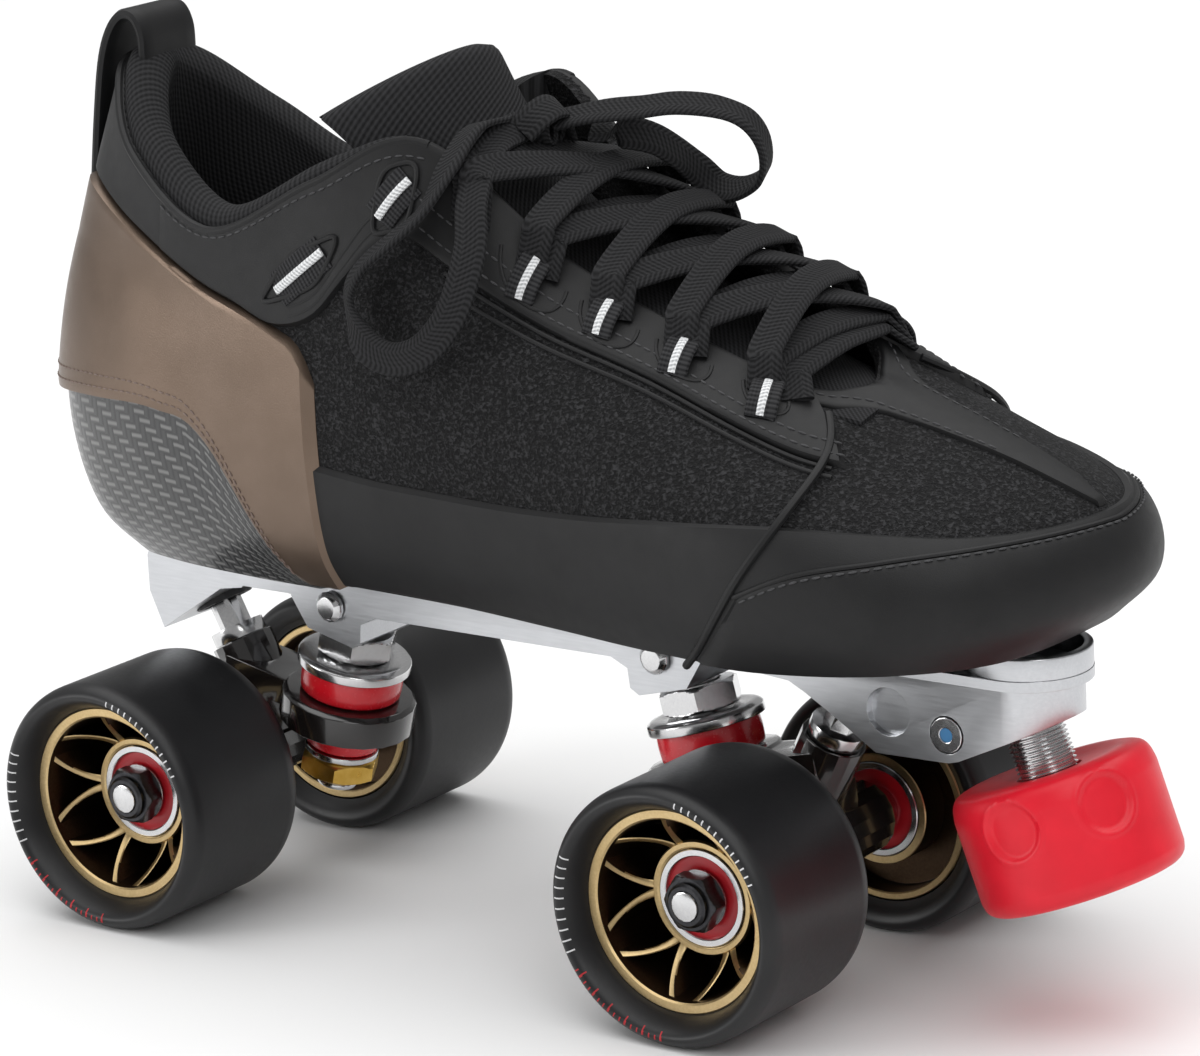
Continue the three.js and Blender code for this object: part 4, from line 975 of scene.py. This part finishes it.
def grow(name, points, faces, edges, tree, sizes, matrix, body):
    """Runs a tree on a small mesh and keeps the result as a plain piece."""
    seed = bpy.data.meshes.new(name + "_seed")
    seed.from_pydata([tuple(p) for p in points], edges, [tuple(int(k) for k in f) for f in faces])
    holder = bpy.data.objects.new(name + "_seed", seed)
    bpy.context.scene.collection.objects.link(holder)
    modifier = holder.modifiers.new(tree.name, "NODES")
    modifier.node_group = tree
    for item in tree.interface.items_tree:
        if item.item_type == "SOCKET" and item.in_out == "INPUT" and item.name in sizes:
            modifier[item.identifier] = sizes[item.name]
    depsgraph = bpy.context.evaluated_depsgraph_get()
    mesh = bpy.data.meshes.new_from_object(holder.evaluated_get(depsgraph), depsgraph=depsgraph)
    holder.modifiers.remove(modifier)
    bpy.data.objects.remove(holder)
    mesh.transform(matrix)
    mesh.materials.clear()
    mesh.materials.append(sizes["Material"])
    mesh.polygons.foreach_set("material_index", [0] * len(mesh.polygons))
    mesh.polygons.foreach_set("use_smooth", [True] * len(mesh.polygons))
    mesh.set_sharp_from_angle(angle=math.radians(40))
    made = bpy.data.objects.new(name, mesh)
    bpy.context.scene.collection.objects.link(made)
    return settle(made, body)


# %% Stitched seams
def seam(name, stations, levels, out, finish=thread, pitch=2.6, length=2.0, thick=0.55):
    points = framed(off_boot(stations, levels, out))
    edges = [(k, k + 1) for k in range(len(points) - 1)]
    return grow(name, points, [], edges, STITCHES,
                {"Pitch": pitch * MM, "Length": length * MM, "Thickness": thick * MM,
                 "Material": finish.material}, Matrix(), "skate")


for side, label in ((1, "lateral"), (-1, "medial")):
    mirror = lambda s: np.asarray(s) if side > 0 else AROUND - np.asarray(s)
    s = np.linspace(2.5, 5.0, 60)
    seam(f"ankle_edge_stitch_{label}", mirror(s), np.full_like(s, TOP - 0.13), 1.7)
    for row, drop in enumerate((0.16, 0.34)):
        s = np.linspace(4.95, 8.7, 90)
        seam(f"eyestay_stitch_{label}_{row + 1}", mirror(s), eyestay_foot(s) + drop - 0.04, 1.65)
    for row, rise in enumerate((0.13, 0.24)):
        s = np.linspace(0.15, 3.5, 90)
        foot = bronze_foot(s) + rise
        seam(f"counter_stitch_{label}_{row + 1}", mirror(s), foot,
             2.35 + counter_bulge(s, foot), bronze_thread, 2.1, 1.6, 0.5)
    s = np.linspace(7.95, 11, 70)
    seam(f"toe_cap_stitch_{label}", mirror(s), toe_cap(s) - 0.1, 2.15)
    s = np.linspace(8.35, 10.7, 60)
    seam(f"toe_strip_stitch_{label}", mirror(s), strip_foot(s) + 0.14, 1.05)
    t = np.linspace(0, 1, 50)
    seam(f"vamp_stitch_{label}", mirror(8.75 - 1.35 * t), 4.5 - 4.3 * t, 1.5)
print("seams sewn")

# %% [markdown]
# Webbing loops carry the laces. On each side four small ones stand at the eyestay's edge,
# and two wider ones sit in windows of the ankle band. A white reflective stripe runs down
# the middle of each.


# %% Webbing loops
def webbing_loop(name, side, station, level, wide, length, stand, lean=0.0):
    """A folded strap that lies down the eyestay, with a stripe along its middle."""
    s0 = side * station
    t = np.linspace(0, 1, 9)
    levels = level - length * (t - 0.5)
    stations = s0 + side * lean * (t - 0.5)
    rise = 1.5 + stand * np.sin(math.pi * t) ** 0.7
    route = off_boot(stations, levels, rise)
    facing = off_boot(stations, levels, rise + 1) - route
    band(name, route, facing, wide, 1.2, webbing, slot="lace", count=28)
    stripe = off_boot(stations, levels, rise + 0.62)
    band(name + "_stripe", stripe, facing, wide * 0.26, 0.5, reflective, slot="lace", count=28)


def ridge(name, stations, levels, out, thick=1.1, finish=smooth_black, count=None):
    """A thin round cord laid along a line of the boot, half sunk in it."""
    route = off_boot(stations, levels, out)
    facing = off_boot(stations, levels, np.asarray(out) + 1.0) - route
    return band(name, route, facing, thick, thick * 0.98, finish, slot="leather",
                count=count or 2 * len(route))[0]


def window(name, side, station, level, half_s, half_v, slant):
    """A window in the ankle band: a raised frame, the strap inside and its white stripe."""
    turn_by = np.linspace(0, 2 * math.pi, 33)
    corner = 1 / (np.abs(np.cos(turn_by)) ** 4 + np.abs(np.sin(turn_by)) ** 4) ** 0.25
    u, v = np.cos(turn_by) * corner, np.sin(turn_by) * corner
    stations, levels = station + half_s * u + slant * v, level + half_v * v + 0.5 * slant * u
    ridge(name + "_frame", side * stations, levels, 1.7, 1.3, count=66)
    t = np.linspace(-0.82, 0.82, 9)
    for label, wide, lift, finish in (("strap", 8.4, 1.35, webbing), ("stripe", 2.1, 2.0, reflective)):
        s, v = station + half_s * t, level + half_v * 0.55 * t + 0.5 * slant * t
        rise = lift + 0.7 * np.cos(t * 1.6)
        route = off_boot(side * s, v, rise)
        facing = off_boot(side * s, v, rise + 1) - route
        band(f"{name}_{label}", route, facing, wide, 0.9, finish, slot="lace", count=26)


for side, label in ((1, "lateral"), (-1, "medial")):
    for index, (station, level) in enumerate(((5.82, 4.62), (6.45, 4.66), (7.12, 4.6), (7.92, 4.5))):
        webbing_loop(f"eyelet_{label}_{index + 1}", side, station, level, 7.0, 0.62, 2.6, -0.1)
    window(f"ankle_window_{label}_1", side, 4.78, 4.6, 0.17, 0.22, 0.05)
    window(f"ankle_window_{label}_2", side, 3.88, 4.12, 0.26, 0.26, 0.14)

# %% [markdown]
# The boot's seams stand up as thin cords: along the ankle band's rim, along the eyestay,
# down the fold between vamp and toe box, and round each eyelet.

# %% Raised seams
for side, label in ((1, "lateral"), (-1, "medial")):
    s = np.linspace(0, 5.05, 60)
    ridge(f"top_line_ridge_{label}", side * s, np.full_like(s, TOP - 0.03), 0.9, 2.0)
    for row in range(2):
        s = np.linspace(5.2, 8.6, 50)
        ridge(f"eyestay_ridge_{label}_{row + 1}", side * s, eyestay_foot(s) - 0.05 - 0.12 * row,
              0.25 - 0.1 * row)
        s = np.linspace(3.75, 4.75, 26)
        ridge(f"ankle_ridge_{label}_{row + 1}", side * s, eyestay_foot(s) + 0.12 + 0.11 * row, 1.3, 0.9)
    t = np.linspace(0, 1, 40)
    ridge(f"vamp_fold_{label}", side * (8.75 - 1.42 * t), 4.55 - 4.5 * t, 1.35, 1.9)
    s = np.linspace(7.86, TOE, 60)
    ridge(f"toe_cap_fold_{label}", side * s, toe_cap(s), 1.15, 1.3)
    for index, station in enumerate((5.82, 6.45, 7.12, 7.92)):
        t = np.linspace(-1, 1, 21)
        s = station + 0.02 + 0.25 * np.sin(t * math.pi / 2)
        ridge(f"eyelet_frame_{label}_{index + 1}", side * s, 4.3 + 0.34 * np.abs(t) ** 2.2, 1.55, 0.9)

# %% [markdown]
# The pull tab is a strip of the same microfibre. It climbs behind the heel and folds
# forward over the collar.

# %% Pull tab
heel_x, heel_z = -103, 195
tab_route = [(heel_x + x, 0, heel_z + z) for x, z in
             ((-9.9, -29), (-8, -16), (-5.4, -2), (-2.4, 5.6), (1.4, 9.6), (5.2, 9.4), (7.4, 5.4),
              (7.6, -1))]
tab_facing = [(-1, 0, 0.2), (-1, 0, 0.25), (-1, 0, 0.3), (-0.8, 0, 0.6), (-0.2, 0, 1), (0.5, 0, 1),
              (1, 0, 0.3), (1, 0, 0)]
band("pull_tab_strip", tab_route, tab_facing, 19, 2.6, smooth_black, slot="leather", count=40,
     replaces=("pull_tab",))

# %% [markdown]
# Wheels. Each wheel is drawn once in its own place: +Z along the axle, outboard, and then
# set on its end of the axle.

# %% Where the wheels stand
WHEELS = {}
for end_name, end in (("front", 1), ("rear", -1)):
    for side_name, side in (("lateral", -1), ("medial", 1)):
        node = f"{end_name}_{side_name}"
        low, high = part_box(f"{node}_tyre")
        place = Matrix.Translation((end * HALF_BASE, (low.y + high.y) / 2 / MM, AXLE_Z))
        WHEELS[node] = place @ Matrix.Rotation(math.radians(-90 * side), 4, "X")
TYRE_R = (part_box("front_lateral_tyre")[1].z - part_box("front_lateral_tyre")[0].z) / 2 / MM
print("tyre radius", TYRE_R)

# %% Tyre, hub, bearings and nut
SIDEWALL = smooth_line([(22.7, 12.7), (23.5, 14.9), (24.6, 17.2), (25.7, 18.8), (26.8, 19.45), (27.9, 19.0),
                        (28.9, 17.7), (29.4, 15.9), (29.5, 14.0)], 34) * [TYRE_R / 29.5, 1]
BACK_WALL = smooth_line([(23.4, -17.2), (25, -18.7), (26.8, -19.45), (28.1, -18.9), (29.0, -17.5),
                         (29.45, -15.6), (29.5, -14.0)], 26) * [TYRE_R / 29.5, 1]
TYRE = np.concatenate([[(22.3, -16.4)], BACK_WALL, [(TYRE_R, h) for h in (-7, 0, 7)], SIDEWALL[::-1],
                       [(22.3, 12.5)]])
RIM = [(20.2, -16.3), (20.5, -16.6), (21.7, -16.6), (22, -16.3), (22, 12.2), (22.9, 12.6), (22.9, 13.1),
       (22.6, 13.4), (20.9, 13.4), (20.5, 13.0), (20.0, 4), (20.0, -8)]
CORE = [(11.2, -18.3), (12.8, -18.3), (13, -18), (13, 2.6), (12.6, 3.3), (11.6, 3.3), (11.2, 3.0)]
RACE = [(9.4, -0.5), (9.4, 0.0), (9.6, 0.15), (10.8, 0.15), (11, -0.05), (11, -6.9), (9.4, -6.9)]
INNER_RACE = [(3.9, 0.0), (4.1, 0.15), (5.2, 0.15), (5.4, 0.0), (5.4, -6.9), (3.9, -6.9)]
SHIELD = [(5.4, -0.75), (6.4, -0.42), (8.4, -0.42), (9.4, -0.7), (9.4, -1.4), (5.4, -1.4)]


def hex_nut(across, low, high, bore, sides=96, chamfer=0.97):
    """Points and faces of a nut with turned corners and a bore."""
    angle = np.linspace(0, 2 * math.pi, sides, endpoint=False)
    flat = across / 2 / np.cos((angle % (math.pi / 3)) - math.pi / 6)
    tall = high - low
    steps = np.array([0, 0.12, 0.3, 0.55, 0.85, 1.2])
    heights = np.concatenate([low + steps, [low + tall / 2], (high - steps)[::-1]])
    outline = []
    for h in heights:
        room = min(h - low, high - h)
        outline.append(np.minimum(flat, across / 2 * chamfer + room * 1.75))
    ring = [np.full(sides, bore), np.full(sides, bore + 0.5)] + outline + \
        [np.full(sides, bore + 0.5), np.full(sides, bore)]
    z = [low + 0.5, low] + list(heights) + [high, high - 0.5]
    ring, z = np.array(ring + ring[:1]), np.array(z + z[:1])
    points = np.stack([ring.T * np.cos(angle)[:, None], ring.T * np.sin(angle)[:, None],
                       np.broadcast_to(z, (sides, len(z)))], -1)
    return points.reshape(-1, 3), grid_faces(sides, len(z), 0, True, False)


def spoke_part(lean, deep):
    """One curved spoke from the core to the rim, its front edge sloping out to the rim."""
    t = np.linspace(0, 1, 14)
    r = 12.7 + t * (20.4 - 12.7)
    angle = math.radians(lean) * t**1.4
    thick = 0.95 - 0.2 * np.sin(math.pi * t)
    front = 3.0 + 8.6 * t**1.15
    rows = []
    for k in range(len(t)):
        centre = np.array([r[k] * math.cos(angle[k]), r[k] * math.sin(angle[k])])
        side_way = np.array([-math.sin(angle[k]), math.cos(angle[k])])
        bevel = 0.3
        outline = [(-thick[k], front[k] - deep), (-thick[k], front[k] - bevel), (-thick[k] + bevel,
                   front[k]),
                   (thick[k] - bevel, front[k]), (thick[k], front[k] - bevel), (thick[k], front[k] - deep)]
        rows.append([[*(centre + side_way * a), z] for a, z in outline])
    rows = np.array(rows)
    faces = grid_faces(len(t), 6, 0, False, False).tolist()
    faces += [[k * 6 + 5, (k + 1) * 6 + 5, (k + 1) * 6, k * 6] for k in range(len(t) - 1)]
    return rows.reshape(-1, 3), faces


def gold_front(made, whole):
    """The hub is dark, with bright gold where a face looks along the axle."""
    made.data.materials.append(gold.material)
    axis = (whole.to_3x3() @ Vector((0, 0, 1))).normalized()
    for face in made.data.polygons:
        face.material_index = 1 if abs(axis.dot(face.normal)) > 0.4 else 0


def wheel_pieces(node, place):
    body = f"{node}_wheel"
    whole = to_frame @ place
    welded(f"{node}_tyre_cast", [moved(spun(TYRE, 128), whole)], tyre_black, body, slot="urethane",
           replaces=(f"{node}_tyre",), sharp=50)
    hub_rim = spun_piece(f"{node}_hub_rim", RIM, place, dark_hub, body, 96, slot="hub",
                         replaces=(f"{node}_hub",), sharp=30)
    core = spun_piece(f"{node}_hub_core", CORE, place, dark_hub, body, 64, slot="hub", sharp=30)
    gold_front(hub_rim, whole)
    gold_front(core, whole)
    # A dark disc closes the hub behind the spokes: a painted shadow that stands in for the shade inside the
    # wheel.
    shade_disc = [(13, -8.6), (19.8, -9.2), (19.8, -10.8), (13, -10.4)]
    spun_piece(f"{node}_hub_shade_disc", shade_disc, place, dark_hub, body, 64, slot="hub", sharp=30)
    for way, start in ((17, 4.5), (-17, -4.5)):
        points, faces = spoke_part(way, 11.0)
        made = grow(f"{node}_spokes_{'left' if way > 0 else 'right'}", points, faces, [], ROUND_COPIES,
                    {"Count": 6, "Step": math.pi / 3, "Start": math.radians(start),
                     "Material": dark_hub.material}, whole, body)
        gold_front(made, whole)
    for part, depth, facing in (("outer", 3.2, 1), ("inner", -18.5, -1)):
        flip = place @ Matrix.Translation((0, 0,
                                          depth)) @ (Matrix() if facing > 0 else Matrix.Rotation(math.pi, 4,
                                                     "X"))
        parts = [moved(spun(p, 64), to_frame @ flip) for p in (RACE, INNER_RACE, SHIELD)]
        welded(f"{node}_{part}_bearing_rings", parts, [steel, shield_red], body, which=[0, 0, 1],
               slot="bearing", replaces=(f"{node}_{part}_bearing",), sharp=30)


for node, place in WHEELS.items():
    wheel_pieces(node, place)
    end_name = node.split("_")[0]
    welded(f"{node}_lock_nut", [moved(hex_nut(12, 3.5, 8.2, 3.6), to_frame @ place),
                                moved(spun([(3.55, 8.0), (5.2, 8.0), (5.0, 9.0), (4.4, 9.5), (3.55, 9.5)],
                                      48),
                                      to_frame @ place),
                                moved(spun([(3.7, 3.3), (6.6, 3.3), (6.7, 3.5), (6.6, 3.8), (3.7, 3.8)],
                                      48),
                                      to_frame @ place)],
           [black_oxide, steel], f"{end_name}_truck", which=[0, 0, 1], slot="dark_steel",
           replaces=(f"{node}_axle_nut",), sharp=25)

# %% Printed ticks
def tick_seed(r_in, r_out, half):
    """A thin raised bar that follows the sidewall's slope."""
    radii = np.linspace(r_in, r_out, 4)
    heights = np.interp(radii, SIDEWALL[:, 0], SIDEWALL[:, 1])
    points = [(r, w, h + lift) for r, h in zip(radii, heights)
              for w, lift in ((-half, -0.15), (-half, 0.06), (half, 0.06), (half, -0.15))]
    faces = [[4 * k + a, 4 * k + b, 4 * k + 4 + b, 4 * k + 4 + a]
             for k in range(3) for a, b in ((0, 1), (1, 2), (2, 3), (3, 0))]
    return points, faces + [[3, 2, 1, 0], [12, 13, 14, 15]]


TICK_ARCS = (("white_upper", mark_white, 26, 14, 4.0, 1.3), ("white_heel", mark_white, 158, 10, 5.2, 2.0),
             ("red_short", mark_red, 214, 17, 3.4, 1.1), ("red_long", mark_red, 217, 6, 10.2, 2.0))
for node, place in WHEELS.items():
    for label, finish, start, count, step, long in TICK_ARCS:
        points, faces = tick_seed(27.5 - long, 27.5, 0.17)
        grow(f"{node}_ticks_{label}", points, faces, [], ROUND_COPIES,
             {"Count": count, "Step": math.radians(step), "Start": math.radians(start),
              "Material": finish.material}, to_frame @ place, f"{node}_wheel")
print("wheels made")

# %% [markdown]
# A truck's kingpin carries, from the plate down: a jam nut, a cupped steel washer, a red
# cushion, the yoke ring of the hanger, a second cushion, a small washer and a yellow nut.

# %% Where the kingpins and pivots stand
TILT, RING_BACK, RING_UP = 14, 26.2, 12.3


def truck_place(end):
    return Matrix.Translation((end * HALF_BASE, 0, AXLE_Z)) @ Matrix.Rotation(0 if end > 0 else math.pi, 4,
                                                                              "Z")


def leaning(x, z, degrees):
    return Matrix.Translation((x, 0, z)) @ Matrix.Rotation(math.radians(degrees), 4, "Y")


def rounded(profile, size=0.4, steps=3):
    """The same closed profile with its corners rounded off."""
    profile = np.asarray(profile, float)
    out = []
    for k in range(len(profile)):
        before, here, after = profile[k - 1], profile[k], profile[(k + 1) % len(profile)]
        a, b = before - here, after - here
        reach_here = min(size, 0.45 * np.linalg.norm(a), 0.45 * np.linalg.norm(b))
        start, end = here + a / np.linalg.norm(a) * reach_here, here + b / np.linalg.norm(b) * reach_here
        for t in np.linspace(0, 1, steps + 1):
            out.append(start * (1 - t) ** 2 + here * 2 * t * (1 - t) + end * t**2)
    return np.array(out)


# %% Kingpin pieces
for end_name, end in (("front", 1), ("rear", -1)):
    king = truck_place(end) @ leaning(-RING_BACK, RING_UP, -TILT)
    top_foot, top_head = 4.1, 12.1
    washer_top = top_head + 0.3 + 1.6
    low_head, low_foot = -4.1, -9.9
    low_washer = low_foot - 0.3 - 1.6
    sides = 80
    upper_cushion = spun_piece(
        f"{end_name}_upper_cushion_cast",
               rounded([(5.3, top_foot), (11.9, top_foot), (12.1, 8.1), (11.8, top_head), (5.3, top_head)],
                       0.9),
               king, cushion_red, None, sides, slot="cushion", replaces=(f"{end_name}_upper_cushion",))
    spun_piece(f"{end_name}_cupped_washer",
               rounded([(5.3, washer_top - 1.6), (12.3, washer_top - 1.6), (12.3, washer_top - 3.1),
                        (13.5, washer_top - 3.1), (13.5, washer_top - 0.9), (12.5, washer_top - 0.1),
                        (11.4, washer_top), (5.3, washer_top)], 0.35),
               king, steel, "skate", sides, slot="steel", replaces=(f"{end_name}_upper_washer",))
    welded(f"{end_name}_jam_nut_hex",
           [moved(hex_nut(17, washer_top + 0.3, washer_top + 6.3, 5.3), to_frame @ king)],
           steel, "skate", slot="steel", replaces=(f"{end_name}_jam_nut",), sharp=25)
    lower_cushion = spun_piece(
        f"{end_name}_lower_cushion_cast",
               rounded([(5.3, low_foot), (8.5, low_foot), (10.2, low_head), (5.3, low_head)], 0.9),
               king, cushion_red, None, sides, slot="cushion", replaces=(f"{end_name}_lower_cushion",))
    spun_piece(f"{end_name}_lower_washer_disc",
               rounded([(5.3, low_washer), (8.75, low_washer), (8.75, low_washer + 1.6), (5.3,
                       low_washer + 1.6)], 0.35),
               king, steel, "skate", sides, slot="steel", replaces=(f"{end_name}_lower_washer",))
    welded(f"{end_name}_kingpin_nut_hex",
           [moved(hex_nut(17, low_washer - 5.3, low_washer - 0.3, 5.3), to_frame @ king)],
           yellow_zinc, "skate", slot="yellow_zinc", replaces=(f"{end_name}_kingpin_nut",), sharp=25)
    for cushion, held, pressed in ((upper_cushion, top_head, top_foot), (lower_cushion, low_foot,
                                   low_head)):
        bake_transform(cushion)
    thread_profile = [(4.6, -20.3)] + [(4.95 - 0.35 * (k % 2), -20 + 0.55 * k + 0.5) for k in range(20)] \
        + [(5.0, -8), (5.0, 31), (0.0, 31), (0.0, -20.3)]
    spun_piece(f"{end_name}_kingpin_bolt", thread_profile, king, steel, "skate", 48, slot="steel",
               replaces=(f"{end_name}_kingpin",), sharp=60)

# %% [markdown]
# The plate, the hangers, the axles and the pivots keep the CAD's own shape. A copy of
# each is merged, its flat faces are joined up, and its hard edges get a small bevel that
# catches the light, which a sharp edge never does.


# %% Bevelled copies of CAD pieces
def bevelled(node, finish, body, width=0.35, angle=32, segments=2, keep_round=18):
    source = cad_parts[node]
    bm = bmesh.new()
    bm.from_mesh(source.data)
    bmesh.ops.remove_doubles(bm, verts=bm.verts, dist=2e-6)
    bmesh.ops.dissolve_limit(bm, angle_limit=math.radians(1.0), verts=bm.verts, edges=bm.edges)
    hard = [e for e in bm.edges if len(e.link_faces) == 2 and e.calc_face_angle(0) > math.radians(angle)]
    if width:
        bmesh.ops.bevel(bm, geom=hard, offset=width * MM, offset_type="OFFSET", segments=segments,
                        profile=0.5, affect="EDGES", clamp_overlap=True)
    mesh = bpy.data.meshes.new(f"{node}_finished")
    bm.to_mesh(mesh)
    bm.free()
    mesh.materials.clear()
    mesh.materials.append(finish.material)
    mesh.polygons.foreach_set("use_smooth", [True] * len(mesh.polygons))
    mesh.polygons.foreach_set("material_index", [0] * len(mesh.polygons))
    mesh.set_sharp_from_angle(angle=math.radians(keep_round))
    made = bpy.data.objects.new(f"{node}_finished", mesh)
    bpy.context.scene.collection.objects.link(made)
    return settle(made, body, (node,))


bevelled("plate", aluminium, "skate", 0.4)
bevelled("toe_stop_lock_screw", steel, "skate", 0.2)
boss = Matrix.Translation((HALF_BASE + 56, 0, 0))
spun_piece("plate_boss_top", rounded([(11.7, 77.4), (13.9, 77.4), (13.9, 82.6), (11.7, 82.6)], 0.5), boss,
           aluminium, "skate", 96, slot="aluminium")
low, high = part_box("toe_stop_lock_screw")
screw = (low + high) / 2 / MM
patch = Matrix.Translation((screw.x - MIDDLE_X / MM, low.y / MM + 0.9,
                           screw.z)) @ Matrix.Rotation(math.pi / 2, 4, "X")
spun_piece("lock_screw_patch", [(0.001, 0), (2.3, 0), (2.3, 0.5), (0.001, 0.5)], patch, socket_blue,
           "skate", 6,
           slot="aluminium")
for end_name in ("front", "rear"):
    bevelled(f"{end_name}_hanger", lacquer, f"{end_name}_truck", 0.6, 28, 3)
    bevelled(f"{end_name}_axle", steel, f"{end_name}_truck", 0.5, 40, 2, 30)
    bevelled(f"{end_name}_pivot_pin", steel, f"{end_name}_truck", 0.3, 32, 2, 30)
    bevelled(f"{end_name}_pivot_cup", nylon, "skate", 0.2)
    bevelled(f"{end_name}_kingpin_screw", steel, "skate", 0.15, 40)

# %% [markdown]
# The toe stop is a round block of red rubber on a threaded stem. Its rim is rounded, its
# top is slightly dished, and two shallow round recesses sit side by side on its wall.

# %% Toe stop and stem
STOP = Matrix.Translation((HALF_BASE + 56, 0, 66)) @ Matrix.Rotation(math.radians(-20), 4, "Y")
wall_low, wall_high, stop_radius = -38.9, -11.4, 22.7
profile = np.concatenate([
    [(0.0, wall_low), (8, wall_low), (15, wall_low)],
    smooth_line([(18.5, wall_low), (20.6, wall_low + 0.35), (22.1, wall_low + 1.6), (22.7, wall_low + 3.6)],
                10),
    np.stack([np.full(32, stop_radius), np.linspace(wall_low + 4.2, wall_high - 5.6, 32)], -1),
    smooth_line([(22.6, wall_high - 4.8), (22.1, wall_high - 2.6), (20.9, wall_high - 0.9), (18.6,
                wall_high - 0.15)], 10),
    [(16, wall_high - 0.1), (13, wall_high - 0.7), (10, wall_high - 1.0), (7.3, wall_high - 1.1),
     (7.1, wall_high - 1.4), (7.1, wall_high - 11), (0.0, wall_high - 11)]])
points, faces = spun(profile, 240, False)
angles = np.arctan2(points[:, 1], points[:, 0])
for dimple in (-86, -30, 94, 150):
    across_it = (np.radians(dimple) - angles + math.pi) % (2 * math.pi) - math.pi
    gone = np.hypot(across_it * stop_radius, points[:, 2] - (wall_low + 18.8))
    wall = np.hypot(points[:, 0], points[:, 1]) > 21
    press = np.where(wall, -0.9 * np.clip((6.4 - gone) / 0.9, 0,
                     1) + 0.3 * np.exp(-(((gone - 6.9) / 0.5) ** 2)), 0)
    points[:, 0] += press * np.cos(angles)
    points[:, 1] += press * np.sin(angles)
stop = welded("toe_stop_rubber", [moved((points, faces), to_frame @ STOP)], stop_red, "toe_stop_assembly",
              slot="toe_stop", replaces=("toe_stop",), sharp=50)
stem_core = [(0.0, -23), (6.0, -23), (6.0, 8.6), (5.6, 9), (0.0, 9)]
spun_piece("toe_stop_stem_core", stem_core, STOP, steel, "toe_stop_assembly", 64, loop=False, slot="steel",
           replaces=("toe_stop_stem",))
ridge_points, ridge_faces = spun([(5.9, -0.45), (6.7, -0.08), (6.7, 0.08), (5.9, 0.45)], 64)
grow("toe_stop_stem_thread", ridge_points, ridge_faces, [], STACKED_COPIES,
     {"Count": 31, "Step": 1.0, "Start": -22.2, "Material": steel.material}, to_frame @ STOP,
     "toe_stop_assembly")
print("toe stop", len(stop.data.polygons), "faces")

# %% [markdown]
# A pale floor, a white surround and three large soft lights, as in a product studio. The
# surround looks white to the camera but lights the skate less, so that black stays black.

# %% Floor, surround and lights
floor_mesh = bpy.data.meshes.new("floor")
floor_mesh.from_pydata([(-2.6, -2.6, 0), (2.6, -2.6, 0), (2.6, 2.6, 0), (-2.6, 2.6, 0)], [], [(0, 1, 2, 3)])
floor = bpy.data.objects.new("floor", floor_mesh)
floor_finish = Finish("pale_floor", Roughness=0.9)
floor_finish.shader.inputs["Base Color"].default_value = (0.86, 0.86, 0.86, 1)
floor_mesh.materials.append(floor_finish.material)
bpy.context.scene.collection.objects.link(floor)
floor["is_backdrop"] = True
world = bpy.data.worlds.new("surround")
bpy.context.scene.world = world
world.use_nodes = True
sky, links = world.node_tree.nodes, world.node_tree.links
seen = sky.new("ShaderNodeLightPath")
strength = sky.new("ShaderNodeMapRange")
strength.inputs["To Min"].default_value = 0.36
strength.inputs["To Max"].default_value = 1.0
links.new(seen.outputs["Is Camera Ray"], strength.inputs["Value"])
links.new(strength.outputs[0], sky["Background"].inputs["Strength"])
sky["Background"].inputs["Color"].default_value = (1, 1, 1, 1)


def soft_light(name, place, target, size, power):
    lamp = bpy.data.lights.new(name, "AREA")
    lamp.shape, lamp.size, lamp.energy = "DISK", size, power
    holder = bpy.data.objects.new(name, lamp)
    bpy.context.scene.collection.objects.link(holder)
    holder.location = place
    holder.rotation_euler = (Vector(target) - Vector(place)).to_track_quat("-Z", "Y").to_euler()


soft_light("overhead", (0.0, 0.4, 3.2), (0, 0.4, 0), 6.0, 165)
soft_light("heel_side", (-1.0, -1.1, 0.45), (0, 0, 0.1), 0.7, 6)
soft_light("toe_side", (1.1, -0.9, 1.0), (0.05, 0, 0.08), 0.7, 4)
bpy.context.scene.view_settings.view_transform = "Standard"

# %% Sizes
low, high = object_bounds()
print("visual box", tuple(low), tuple(high))
